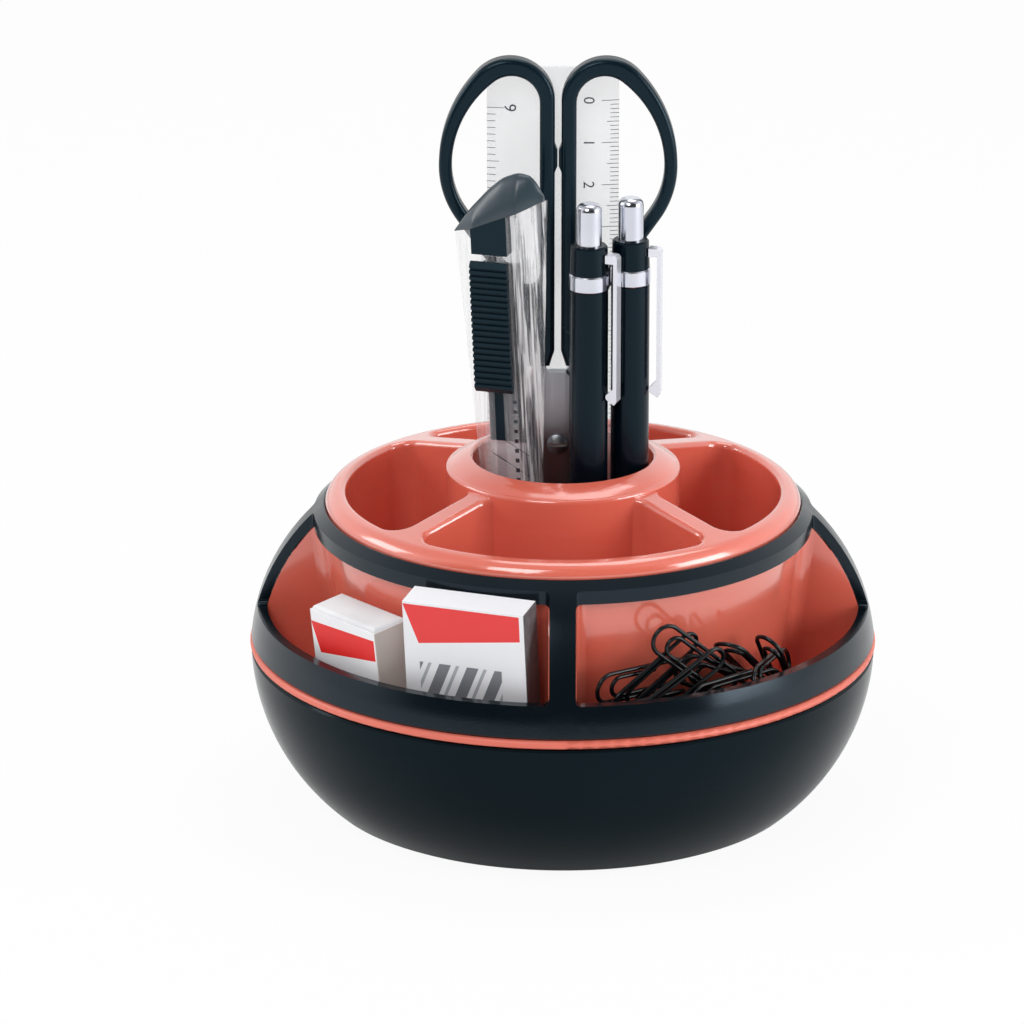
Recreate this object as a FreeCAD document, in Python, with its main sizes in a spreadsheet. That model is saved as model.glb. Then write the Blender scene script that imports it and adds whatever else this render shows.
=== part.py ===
import FreeCAD, Part
import Sketcher
import math
import os

# Rotating desk organiser, millimetres.
# Origin: centre of the footprint on the desk.  +Z up, the front compartments face -Y.
# The bowl, both coral trays and the black trim turn together on a ball ring over a flat base.
# Scissors, a ruler, a snap-off knife and two pens stand in the cup; an eraser, a carton of
# staples and a heap of paper clips lie in the outer compartments.

V = FreeCAD.Vector
doc = FreeCAD.newDocument("desk_organiser")

# ---------------------------------------------------------------- driving dimensions

SIZES = {
    # bowl and dome
    "bowl_max": 72.4, "bowl_arc": 48.0, "bowl_centre_z": 38.4, "bowl_wall": 2.2,
    "bowl_rim_z": 37.2, "bowl_foot_z": 1.5, "bowl_foot_in": 51.8,
    "bowl_floor_z": 9.4, "bowl_floor_t": 1.8, "hub_floor_z": 5.4, "hub_out": 29.0,
    "dome_arc": 50.0, "dome_centre_r": 22.7, "dome_centre_z": 33.9, "trim_t": 2.2,
    "stripe_z": 38.5, "stripe_tall": 2.1, "stripe_proud": 0.25, "groove": 0.5,
    # black trim
    "spoke_w": 5.9, "window_top_r": 57.6, "window_low_z": 47.2, "window_corner": 1.2,
    "seam": 0.2, "peg_r": 1.5, "peg_long": 6.0,
    # outer tray
    "outer_floor_z": 20.0, "tray_t": 1.5, "drum_top_r": 56.0, "drum_top_z": 68.7,
    "drum_base_r": 50.0, "drum_wall": 1.6, "drum_foot_arc": 5.0, "ear_in": 42.0, "flare": 3.2,
    "partition_w": 6.4, "boss_r": 3.6, "boss_ring": 46.0,
    # inner tray and cup
    "crown_out": 54.9, "crown_z": 74.9, "crown_in": 51.9, "crown_edge_z": 72.3,
    "well_out": 50.5, "well_out_low": 47.3, "well_in": 26.2, "well_corner": 4.5,
    "well_floor_z": 32.0, "divider_w": 5.8, "divider_root_z": 79.7, "edge_round": 1.2,
    "collar_r": 27.05, "collar_z": 80.7, "cup_r": 20.7, "cup_top_z": 83.0, "cup_wall": 1.8,
    "cup_floor_z": 8.8, "cup_floor_t": 1.6, "core_w": 2.2,
    # base and bearing
    "base_r": 50.8, "base_low_z": 0.8, "base_t": 2.2, "base_rim_z": 4.6, "post_r": 6.0,
    "post_top_z": 5.6, "run_gap": 0.1, "foot_r": 6.0, "foot_t": 1.6, "foot_ring": 43.0,
    "race_in": 34.0, "race_out": 40.8, "race_t": 1.2, "ball_r": 1.5, "ball_ring": 37.4,
    "ball_count": 16, "ball_gap": 0.06, "cage_t": 1.2, "cage_in": 34.8, "cage_out": 40.0,
    "washer_r": 9.0, "washer_t": 1.2, "screw_r": 1.5, "screw_head_r": 2.4,
    "cup_screw_ring": 15.0, "small_screw_r": 1.2, "small_head_r": 2.3,
    # scissors, from the pivot
    "pivot_x": -1.3, "pivot_y": 4.2, "pivot_z": 84.6, "handle_deep": 5.0, "blade_t": 1.5,
    "blade_long": 75.4, "blade_half": 8.3, "handle_low": 18.8, "handle_side": 0.75,
    "loop_top": 91.9, "loop_wide": 27.2, "loop_bar": 3.0, "loop_mid": 66.5, "loop_low_r": 22.0,
    "loop_top_r": 10.2, "hole_left": 4.2, "hole_top_r": 6.4, "hole_low_r": 2.6, "grip_round": 1.2,
    "tang_w": 3.0, "tang_top": 34.0, "pivot_r": 2.0, "pivot_head_r": 2.4,
    # ruler
    "ruler_w": 30.2, "ruler_t": 1.5, "ruler_long": 164.0, "ruler_x": -2.5, "ruler_y": 9.1,
    "ruler_edge_t": 0.8, "ruler_bevel": 4.0, "ruler_corner": 2.0,
    # snap-off knife, from its nose
    "knife_x": -8.8, "knife_y": -1.3, "knife_slope_x": -0.0424, "knife_slope_y": -0.0491,
    "knife_turn": -20.0, "knife_nose": 10.6, "knife_mid": 15.6, "knife_mid_at": 74.0,
    "knife_tail": 24.3, "knife_tail_at": 146.0, "nose_face": 9.4, "mid_face": 9.8,
    "tail_face": 10.8, "nose_deep": 5.6, "mid_deep": 7.2, "tail_deep": 9.0, "channel_w": 9.4,
    "channel_t": 1.6, "slot_w": 3.4, "slot_low": 12.0, "slot_top": 125.2, "slider_w": 9.0,
    "slider_at": 92.4, "slider_side": 1.4, "slider_ribs": 20, "slider_rib": 1.45, "snap_w": 9.0, "snap_t": 0.4,
    "snap_recess": 4.3, "snap_long": 84.0, "pin_r": 1.75, "cap_peak_x": 2.5, "cap_peak": 145.0,
    "cap_low_x": -11.2, "cap_low": 129.0, "cap_high_x": 10.8, "cap_high": 138.0, "tongue": 5.4,
    # pens, from the tip
    "pen_r": 4.4, "pen_bore": 3.2, "nose_long": 15.0, "nose_tip_r": 1.4, "nose_hole": 1.0,
    "spigot": 4.0, "ring_at": 116.6, "ring_tall": 4.0, "ring_proud": 0.15, "cap_top": 127.2,
    "cap_seat": 122.5, "button_r": 2.9, "stem_r": 1.9, "button_top": 137.0, "stem_low": 108.0,
    "click": 3.6, "refill_r": 1.5, "refill_front_r": 1.1, "refill_tip_r": 0.5, "collar_at": 32.0,
    "wire_clip_w": 2.9, "wire_clip_t": 0.9, "wire_clip_out": 7.2, "wire_clip_low": 90.4,
    "wire_clip_top": 125.4, "coil_r": 2.1, "coil_wire": 0.3, "coil_turns": 9,
    # eraser, carton of staples and paper clips in the outer compartments
    "lean": 7.0, "carton_w": 29.0, "carton_deep": 8.0, "carton_tall": 46.8, "card": 0.6,
    "carton_turn": -20.0, "carton_side": 0.4, "carton_off": 2.4, "strip_w": 12.6,
    "strip_deep": 6.2, "strip_t": 0.5, "strip_long": 21.0, "eraser_w": 22.0, "eraser_deep": 8.8,
    "eraser_tall": 38.0, "eraser_turn": -48.8, "eraser_side": 0.4, "eraser_off": 2.2,
    "sleeve_t": 0.4, "rest_z": 20.9, "clip_wire": 0.5, "clip_outer": 3.5, "clip_middle": 2.95,
    "clip_inner": 2.3, "clip_long": 9.5, "clip_short": 6.5, "pile_r": 58.9, "pile_low": 20.7,
    "pile_step": 1.85,
    # fits
    "fit": 0.3, "snug": 0.05,
}


class Dim:
    """A length or an angle, kept with the sheet expression that gives it."""

    def __init__(self, value, text=None):
        self.value = float(value)
        self.text = text or "%.6g" % value

    def join(self, other, sign, value):
        return Dim(value, "(%s %s %s)" % (self.text, sign, other.text))

    def __add__(self, other):
        other = dim(other)
        return self.join(other, "+", self.value + other.value)

    def __sub__(self, other):
        other = dim(other)
        return self.join(other, "-", self.value - other.value)

    def __mul__(self, other):
        other = dim(other)
        return self.join(other, "*", self.value * other.value)

    def __truediv__(self, other):
        other = dim(other)
        return self.join(other, "/", self.value / other.value)

    def __radd__(self, other):
        return dim(other) + self

    def __rsub__(self, other):
        return dim(other) - self

    def __rmul__(self, other):
        return dim(other) * self

    def __neg__(self):
        return dim(0) - self

    def __float__(self):
        return self.value


def dim(value):
    return value if isinstance(value, Dim) else Dim(value)


def root(value):
    return Dim(math.sqrt(value.value), "sqrt(%s)" % value.text)


def sine(angle):
    return Dim(math.sin(math.radians(angle.value)), "sin(%s * 1 deg)" % angle.text)


def cosine(angle):
    return Dim(math.cos(math.radians(angle.value)), "cos(%s * 1 deg)" % angle.text)


class Sheet:
    """The driving dimensions: one aliased cell each, read back as Dim values."""

    def __init__(self, sizes):
        self.cells = doc.addObject("Spreadsheet::Sheet", "Sizes")
        for row, (name, value) in enumerate(sizes.items(), start=1):
            self.cells.set("A%d" % row, name)
            self.cells.set("B%d" % row, str(value))
            self.cells.setAlias("B%d" % row, name)
        doc.recompute()

    def __getattr__(self, name):
        return Dim(getattr(self.cells, name), "Sizes." + name)


S = Sheet(SIZES)

# ---------------------------------------------------------------- drawing and feature helpers

PARTS = []


def keep(part, label):
    """Names a finished sub-part, which makes it a node."""
    part.Label = label
    PARTS.append(part)
    return part


def bind(thing, prop, value):
    thing.setExpression(prop, dim(value).text)


def new_body(label):
    return keep(doc.addObject("PartDesign::Body", label), label)


def origin_feature(body, role):
    return [f for f in body.Origin.OriginFeatures if f.Role == role][0]


def arc_centre(x0, y0, x1, y1, radius):
    """Centre of the minor arc from one point to the next; a positive radius turns left."""
    half = math.hypot(x1 - x0, y1 - y0) / 2
    rise = math.sqrt(max(radius * radius - half * half, 0.0))
    side = rise / half / 2 * (1 if radius > 0 else -1)
    return (x0 + x1) / 2 - (y1 - y0) * side, (y0 + y1) / 2 + (x1 - x0) * side


class Drawing:
    """A sketch on one of a body's own planes; the sheet holds every point of it."""

    def __init__(self, body, role, name, lift=None, turn=0):
        self.sketch = body.newObject("Sketcher::SketchObject", name)
        self.sketch.AttachmentSupport = [(origin_feature(body, role), "")]
        self.sketch.MapMode = "FlatFace"
        spin = FreeCAD.Rotation(V(0, 1, 0) if role == "XZ_Plane" else V(0, 0, 1), turn)
        self.sketch.AttachmentOffset = FreeCAD.Placement(V(0, 0, dim(lift or 0).value), spin)
        if lift is not None:
            bind(self.sketch, "AttachmentOffset.Base.z", lift)

    def limit(self, kind, geometry, value):
        """A driving constraint whose value comes from the sheet."""
        index = self.sketch.addConstraint(Sketcher.Constraint(kind, *geometry, value.value))
        bind(self.sketch, "Constraints[%d]" % index, value)

    def pin_point(self, geo, end, x, y):
        self.limit("DistanceX", (-1, 1, geo, end), dim(x))
        self.limit("DistanceY", (-1, 1, geo, end), dim(y))

    def outline(self, *points):
        """A closed outline.  A point is (x, y), or (x, y, radius) when an arc leads to it."""
        sketch = self.sketch
        base = sketch.GeometryCount
        count = len(points)
        ends = []
        for i in range(count):
            x0, y0 = (dim(v).value for v in points[i - 1][:2])
            x1, y1 = (dim(v).value for v in points[i][:2])
            if len(points[i]) == 2:
                sketch.addGeometry(Part.LineSegment(V(x0, y0, 0), V(x1, y1, 0)))
                ends.append((1, 2))
                continue
            radius = dim(points[i][2]).value
            cx, cy = arc_centre(x0, y0, x1, y1, radius)
            start = math.atan2(y0 - cy, x0 - cx)
            stop = math.atan2(y1 - cy, x1 - cx)
            if radius < 0:
                start, stop = stop, start
            circle = Part.Circle(V(cx, cy, 0), V(0, 0, 1), abs(radius))
            sketch.addGeometry(Part.ArcOfCircle(circle, start, stop))
            ends.append((1, 2) if radius > 0 else (2, 1))
        for i in range(count):
            nxt = (i + 1) % count
            sketch.addConstraint(
                Sketcher.Constraint("Coincident", base + i, ends[i][1], base + nxt, ends[nxt][0]))
        for i in range(count):
            self.pin_point(base + i, ends[i][1], points[i][0], points[i][1])
            if len(points[i]) == 3:
                radius = dim(points[i][2])
                self.limit("Radius", (base + i,), radius if radius.value > 0 else -radius)
        return self

    def circle(self, x, y, radius):
        radius = dim(radius)
        geo = self.sketch.addGeometry(
            Part.Circle(V(dim(x).value, dim(y).value, 0), V(0, 0, 1), radius.value))
        self.pin_point(geo, 3, x, y)
        self.limit("Radius", (geo,), radius)
        return self

    def rectangle(self, x0, y0, x1, y1):
        return self.outline((x0, y0), (x1, y0), (x1, y1), (x0, y1))


def volume_of(body):
    doc.recompute()
    return body.Shape.Volume if body.Tip and not body.Shape.isNull() else 0.0


def revolve(body, drawing, cut=False):
    kind = "Groove" if cut else "Revolution"
    before = volume_of(body) if cut else 0.0
    feature = body.newObject("PartDesign::" + kind, kind)
    feature.Profile = drawing.sketch
    feature.ReferenceAxis = (drawing.sketch, ["V_Axis"])
    feature.Angle = 360
    if cut and volume_of(body) >= before:
        raise RuntimeError("nothing cut from " + body.Label)
    return feature


def extrude(body, drawing, length, cut=False, both=False, back=False):
    """A pad, or a pocket that has to take something away."""
    kind = "Pocket" if cut else "Pad"
    before = volume_of(body) if cut else 0.0
    feature = body.newObject("PartDesign::" + kind, kind)
    feature.Profile = drawing.sketch
    bind(feature, "Length", length)
    feature.Reversed = back
    if both:
        feature.SideType = "Symmetric"
    if cut and volume_of(body) >= before:
        raise RuntimeError("nothing cut from " + body.Label)
    return feature


def around(body, feature, count):
    pattern = body.newObject("PartDesign::PolarPattern", "PolarPattern")
    pattern.Originals = [feature]
    pattern.Axis = (origin_feature(body, "Z_Axis"), [""])
    pattern.Angle = 360
    pattern.Occurrences = int(dim(count).value)
    body.Tip = pattern
    doc.recompute()
    return pattern


def loft(body, first, second, cut=False):
    before = volume_of(body)
    feature = body.newObject("PartDesign::" + ("SubtractiveLoft" if cut else "AdditiveLoft"), "Loft")
    feature.Profile = first.sketch
    feature.Sections = [second.sketch]
    feature.Ruled = True
    if cut and volume_of(body) >= before:
        raise RuntimeError("nothing cut from " + body.Label)
    return feature


def round_edges(body, radius, wanted, kind="Fillet"):
    """Rounds the edges of the body's last feature that the test picks out."""
    doc.recompute()
    base = body.Tip
    names = ["Edge%d" % (i + 1) for i, edge in enumerate(base.Shape.Edges) if wanted(edge)]
    if not names:
        raise RuntimeError("no edge to round on " + body.Label)
    feature = body.newObject("PartDesign::" + kind, kind)
    feature.Base = (base, names)
    bind(feature, "Radius" if kind == "Fillet" else "Size", radius)
    doc.recompute()
    return feature


def middle(edge):
    return edge.valueAt((edge.FirstParameter + edge.LastParameter) / 2)


def turned(body, x, y, z, turn=0.0):
    """Places a body; its position stays bound to the sheet.  The turn is about +Z, or any."""
    if not isinstance(turn, FreeCAD.Rotation):
        turn = FreeCAD.Rotation(V(0, 0, 1), turn)
    body.Placement = FreeCAD.Placement(V(0, 0, 0), turn)
    for letter, value in zip("xyz", (x, y, z)):
        bind(body, "Placement.Base." + letter, value)


def revolved_body(label, *points):
    body = new_body(label)
    revolve(body, Drawing(body, "XZ_Plane", "Section").outline(*points))
    return body


# ---------------------------------------------------------------- shared curves of the shell

def bowl_r(z, inset):
    """Radius of the bowl's round section at a height, moved in by an inset."""
    reach = S.bowl_arc - inset
    drop = z - S.bowl_centre_z
    return S.bowl_max - S.bowl_arc + root(reach * reach - drop * drop)


def dome_r(z, inset):
    reach = S.dome_arc - inset
    drop = z - S.dome_centre_z
    return S.dome_centre_r + root(reach * reach - drop * drop)


def dome_z(radius, inset):
    reach = S.dome_arc - inset
    out = radius - S.dome_centre_r
    return S.dome_centre_z + root(reach * reach - out * out)


def drum_r(z, inset):
    """Radius of the drum, which narrows towards its foot."""
    share = (z - S.outer_floor_z) / (S.drum_top_z - S.outer_floor_z)
    return S.drum_base_r + (S.drum_top_r - S.drum_base_r) * share - inset


STRIPE_LOW = S.stripe_z - S.stripe_tall / 2
STRIPE_TOP = S.stripe_z + S.stripe_tall / 2
BASE_TOP = S.base_low_z + S.base_t
BALL_Z = BASE_TOP + S.race_t + S.ball_r - 0.4
RACE_TOP_Z = S.bowl_floor_z - S.bowl_floor_t
CUP_UNDER = S.cup_floor_z - S.cup_floor_t
WELL_TURN = 45.0   # the wells' dividers stand between the spokes of the trim


# ---------------------------------------------------------------- base and bearing

def base_plate():
    """A flat disc that stays still on the desk; its centre post is the axle of the carousel."""
    plate = revolved_body(
        "base_plate",
        (0, S.base_low_z), (S.base_r, S.base_low_z), (S.base_r, S.base_rim_z),
        (S.base_r - 1.6, S.base_rim_z), (S.base_r - 1.6, BASE_TOP), (S.race_out + 1.2, BASE_TOP),
        (S.race_out + 1.2, BASE_TOP + 0.8), (S.race_out + S.snug, BASE_TOP + 0.8),
        (S.race_out + S.snug, BASE_TOP), (S.post_r, BASE_TOP), (S.post_r, S.post_top_z),
        (0, S.post_top_z))
    bore = Drawing(plate, "XY_Plane", "Screw_bore", S.post_top_z).circle(0, 0, S.screw_r + S.snug)
    extrude(plate, bore, S.post_top_z - S.base_low_z - 0.6, cut=True)
    seat = Drawing(plate, "XY_Plane", "Foot_seat", S.base_low_z).circle(S.foot_ring, 0, S.foot_r)
    pocket = extrude(plate, seat, S.foot_t / 2, cut=True, back=True)
    around(plate, pocket, 4)


def rubber_feet():
    """Four round pads, half their height let into the base plate."""
    feet = new_body("rubber_feet")
    disc = Drawing(feet, "XY_Plane", "Pad_outline").circle(S.foot_ring, 0, S.foot_r - S.snug)
    pad = extrude(feet, disc, S.foot_t)
    around(feet, pad, 4)


def race(label, low, groove_up):
    """A flat steel ring with a round groove for the balls."""
    top = low + S.race_t
    track = S.ball_r + S.ball_gap
    drop = (top if groove_up else low) - BALL_Z
    half = root(track * track - drop * drop)
    inner, outer = S.ball_ring - half, S.ball_ring + half
    if groove_up:
        revolved_body(label, (S.race_in, low), (S.race_out, low), (S.race_out, top),
                      (outer, top), (inner, top, -track), (S.race_in, top))
    else:
        revolved_body(label, (S.race_in, top), (S.race_in, low), (inner, low),
                      (outer, low, -track), (S.race_out, low), (S.race_out, top))


def bearing():
    """Sixteen balls in a plastic retainer between two grooved races."""
    race("lower_race", BASE_TOP, True)
    race("upper_race", RACE_TOP_Z - S.race_t, False)
    low = BALL_Z - S.cage_t / 2
    cage = revolved_body("ball_retainer", (S.cage_in, low), (S.cage_out, low),
                         (S.cage_out, low + S.cage_t), (S.cage_in, low + S.cage_t))
    hole = Drawing(cage, "XY_Plane", "Ball_hole", low + S.cage_t)
    hole.circle(S.ball_ring, 0, S.ball_r + S.run_gap)
    around(cage, extrude(cage, hole, S.cage_t, cut=True), S.ball_count)
    balls = []
    for i in range(int(S.ball_count.value)):
        ball = doc.addObject("Part::Sphere", "Ball")
        bind(ball, "Radius", S.ball_r)
        angle = dim(360.0 * i) / S.ball_count
        bind(ball, "Placement.Base.x", S.ball_ring * cosine(angle))
        bind(ball, "Placement.Base.y", S.ball_ring * sine(angle))
        bind(ball, "Placement.Base.z", BALL_Z)
        balls.append(ball)
    group = doc.addObject("Part::Compound", "bearing_balls")
    group.Links = balls
    keep(group, "bearing_balls")


def countersunk_screw(label, x_ring, count, top_z, shank_r, head_r, length, heads_up):
    """A flat-headed screw, or a ring of them, with the head's face at top_z."""
    way = -1 if heads_up else 1
    rise = head_r - shank_r
    screw = new_body(label)
    section = Drawing(screw, "XZ_Plane", "Section").outline(
        (x_ring, top_z), (x_ring + head_r, top_z), (x_ring + head_r, top_z + way * 0.25),
        (x_ring + shank_r, top_z + way * (rise + 0.25)), (x_ring + shank_r, top_z + way * length),
        (x_ring, top_z + way * (length + 0.8)))
    line = section.sketch.addGeometry(
        Part.LineSegment(V(x_ring.value, 0, 0), V(x_ring.value, 10, 0)), True)
    section.pin_point(line, 1, x_ring, 0)
    section.pin_point(line, 2, x_ring, 10)
    feature = screw.newObject("PartDesign::Revolution", "Revolution")
    feature.Profile = section.sketch
    feature.ReferenceAxis = (section.sketch, ["Axis0"])
    feature.Angle = 360
    doc.recompute()
    if count > 1:
        around(screw, feature, count)
    slot = Drawing(screw, "XY_Plane", "Driver_slot", top_z)
    slot.rectangle(x_ring - head_r * 0.62, -0.3, x_ring + head_r * 0.62, 0.3)
    cut = extrude(screw, slot, 0.7, cut=True, back=not heads_up)
    if count > 1:
        around(screw, cut, count)


def centre_fixing():
    """A washer and a screw on the post keep the carousel down."""
    low, top = S.post_top_z, S.post_top_z + S.washer_t
    shank, head = S.screw_r + S.snug, S.screw_head_r + S.snug
    revolved_body("centre_washer", (shank, low), (S.washer_r, low), (S.washer_r, top),
                  (head, top), (head, top - 0.25), (shank, top - 0.25 - head + shank))
    countersunk_screw("centre_screw", dim(0), 1, top, S.screw_r, S.screw_head_r,
                      S.washer_t + 3.4, True)


# ---------------------------------------------------------------- carousel shells

def bowl():
    """The black lower shell: round-sided, with a foot ring that hides the base."""
    wall = S.bowl_wall
    floor = S.bowl_floor_z
    under = floor - S.bowl_floor_t
    rim = S.bowl_rim_z
    shell = revolved_body(
        "bowl",
        (S.post_r + S.run_gap, S.hub_floor_z - S.bowl_floor_t),
        (S.hub_out, S.hub_floor_z - S.bowl_floor_t), (S.hub_out + 1.8, under),
        (S.bowl_foot_in, under), (S.bowl_foot_in, S.bowl_foot_z + 0.4),
        (S.bowl_foot_in + 0.4, S.bowl_foot_z),
        (bowl_r(S.bowl_foot_z, 0) - 0.5, S.bowl_foot_z),
        (bowl_r(S.bowl_foot_z + 0.6, 0), S.bowl_foot_z + 0.6),
        (bowl_r(rim - S.groove, 0), rim - S.groove, S.bowl_arc),
        (bowl_r(rim, 0) - S.groove, rim),
        (bowl_r(rim, wall), rim), (bowl_r(floor, wall), floor, -(S.bowl_arc - wall)),
        (S.hub_out, floor), (S.hub_out - 1.8, S.hub_floor_z),
        (S.post_r + S.run_gap, S.hub_floor_z))
    hole = Drawing(shell, "XY_Plane", "Tray_screw_hole", floor)
    hole.circle(S.boss_ring, 0, S.small_screw_r + S.snug)
    around(shell, extrude(shell, hole, S.bowl_floor_t, cut=True), 4)
    cone_holes(shell, S.boss_ring, under, 4, 0)
    hole = Drawing(shell, "XY_Plane", "Cup_screw_hole", S.hub_floor_z, turn=WELL_TURN)
    hole.circle(S.cup_screw_ring, 0, S.small_screw_r + S.snug)
    around(shell, extrude(shell, hole, S.bowl_floor_t, cut=True), 3)
    cone_holes(shell, S.cup_screw_ring, S.hub_floor_z - S.bowl_floor_t, 3, WELL_TURN)


def cone_holes(body, ring, low, count, turn):
    """Countersinks that open downwards."""
    head, shank = S.small_head_r + S.snug, S.small_screw_r + S.snug
    section = Drawing(body, "XZ_Plane", "Countersink", turn=turn).outline(
        (ring, low), (ring + head, low), (ring + head, low + 0.25),
        (ring + shank, low + 0.25 + head - shank), (ring, low + 0.25 + head - shank))
    line = section.sketch.addGeometry(
        Part.LineSegment(V(ring.value, 0, 0), V(ring.value, 10, 0)), True)
    section.pin_point(line, 1, ring, 0)
    section.pin_point(line, 2, ring, 10)
    before = volume_of(body)
    feature = body.newObject("PartDesign::Groove", "Groove")
    feature.Profile = section.sketch
    feature.ReferenceAxis = (section.sketch, ["Axis0"])
    feature.Angle = 360
    if volume_of(body) >= before:
        raise RuntimeError("nothing cut from " + body.Label)
    around(body, feature, count)


def outer_tray():
    """The coral outer tray: drum, floor, curved outer wall and the lip that shows as a stripe."""
    inset = S.bowl_wall + S.seam
    inner = inset + S.tray_t
    floor, under = S.outer_floor_z, S.outer_floor_z - S.tray_t
    lip = S.bowl_max + S.stripe_proud
    nose = S.stripe_tall / 2
    foot = S.drum_foot_arc
    tray = revolved_body(
        "outer_tray",
        (S.ear_in, under), (bowl_r(under + 1.2, inset) - 1.2, under),
        (bowl_r(under + 1.2, inset), under + 1.2),
        (bowl_r(STRIPE_LOW, inset), STRIPE_LOW, S.bowl_arc - inset),
        (lip - nose, STRIPE_LOW), (lip, S.stripe_z, nose), (lip - nose, STRIPE_TOP, nose),
        (bowl_r(STRIPE_TOP, inner), STRIPE_TOP),
        (bowl_r(floor + 1.5, inner), floor + 1.5, -(S.bowl_arc - inner)),
        (bowl_r(floor + 1.5, inner) - 1.8, floor, -2.4),
        (drum_r(floor, 0) + foot, floor),
        (drum_r(floor + foot, 0), floor + foot, -foot),
        (drum_r(S.drum_top_z, 0), S.drum_top_z),
        (drum_r(S.drum_top_z, S.drum_wall), S.drum_top_z),
        (drum_r(floor, S.drum_wall), floor), (S.ear_in, floor))
    # four radial partitions under the spokes of the trim
    gap = S.trim_t + S.seam
    start = drum_r(floor, S.drum_wall / 2)
    near, far = drum_r(S.drum_top_z, 0.6), bowl_r(S.bowl_rim_z, inner - 0.4)
    stem = Drawing(tray, "XZ_Plane", "Partition").outline(
        (start, under + 0.5), (bowl_r(floor + 2, inner - 0.7) - 1.5, under + 0.5),
        (bowl_r(floor + 3, inner - 0.7), floor + 3.0),
        (far, S.bowl_rim_z, S.bowl_arc - inner + 0.7), (far, STRIPE_TOP),
        (dome_r(STRIPE_TOP + 0.4, gap), STRIPE_TOP + 0.4),
        (near + 0.6, dome_z(near + 0.6, gap), S.dome_arc - gap),
        (near, S.drum_top_z - 0.1))
    partition = extrude(tray, stem, S.partition_w, both=True)
    around(tray, partition, 4)
    # each partition flares where it leaves the drum
    low = flare(tray, "Flare_low", floor + foot * 0.5)
    high = flare(tray, "Flare_high", S.drum_top_z - 0.5)
    around(tray, loft(tray, low, high), 4)
    edge, reach = drum_r(S.drum_top_z, 0), drum_r(S.drum_top_z, -6.0)
    trim = Drawing(tray, "XZ_Plane", "Flare_trim").outline(
        (edge, dome_z(edge, gap + 0.1)), (reach, dome_z(reach, gap + 0.1), -(S.dome_arc - gap - 0.1)),
        (reach, S.crown_z), (edge, S.crown_z))
    revolve(tray, trim, cut=True)
    # bosses that stand on the bowl's floor and take the screws from below
    ring = Drawing(tray, "XY_Plane", "Boss", S.bowl_floor_z)
    ring.circle(S.boss_ring, 0, S.boss_r)
    around(tray, extrude(tray, ring, under - S.bowl_floor_z + 0.5), 4)
    bore = Drawing(tray, "XY_Plane", "Boss_bore", S.bowl_floor_z)
    bore.circle(S.boss_ring, 0, S.small_screw_r + S.snug)
    around(tray, extrude(tray, bore, under - S.bowl_floor_z, cut=True, back=True), 4)
    mouth = dome_z(peg_ring() - S.peg_r * 1.4, gap)
    socket = Drawing(tray, "XY_Plane", "Peg_socket", mouth)
    socket.circle(peg_ring(), 0, S.peg_r + S.snug)
    around(tray, extrude(tray, socket, mouth - peg_top() + S.peg_long + S.seam, cut=True), 4)


def flare(tray, name, level):
    """Plan of the rounded inside corners between the drum and one partition."""
    side = S.partition_w / 2
    wide = side + S.flare
    radius = drum_r(level, 0)
    touch = root(radius * radius - wide * wide) - 0.1
    inside = drum_r(level, S.drum_wall / 2) - 0.6
    drawing = Drawing(tray, "XY_Plane", name, level)
    return drawing.outline(
        (inside, wide), (inside, -wide), (touch, -wide), (touch + S.flare, -side, -S.flare * 1.02),
        (touch + S.flare, side), (touch, wide, -S.flare * 1.02))


def peg_ring():
    return S.window_top_r + 4.0


def peg_top():
    """Where a peg starts, inside the thickness of its spoke."""
    return dome_z(peg_ring(), S.trim_t) + 0.4


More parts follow.
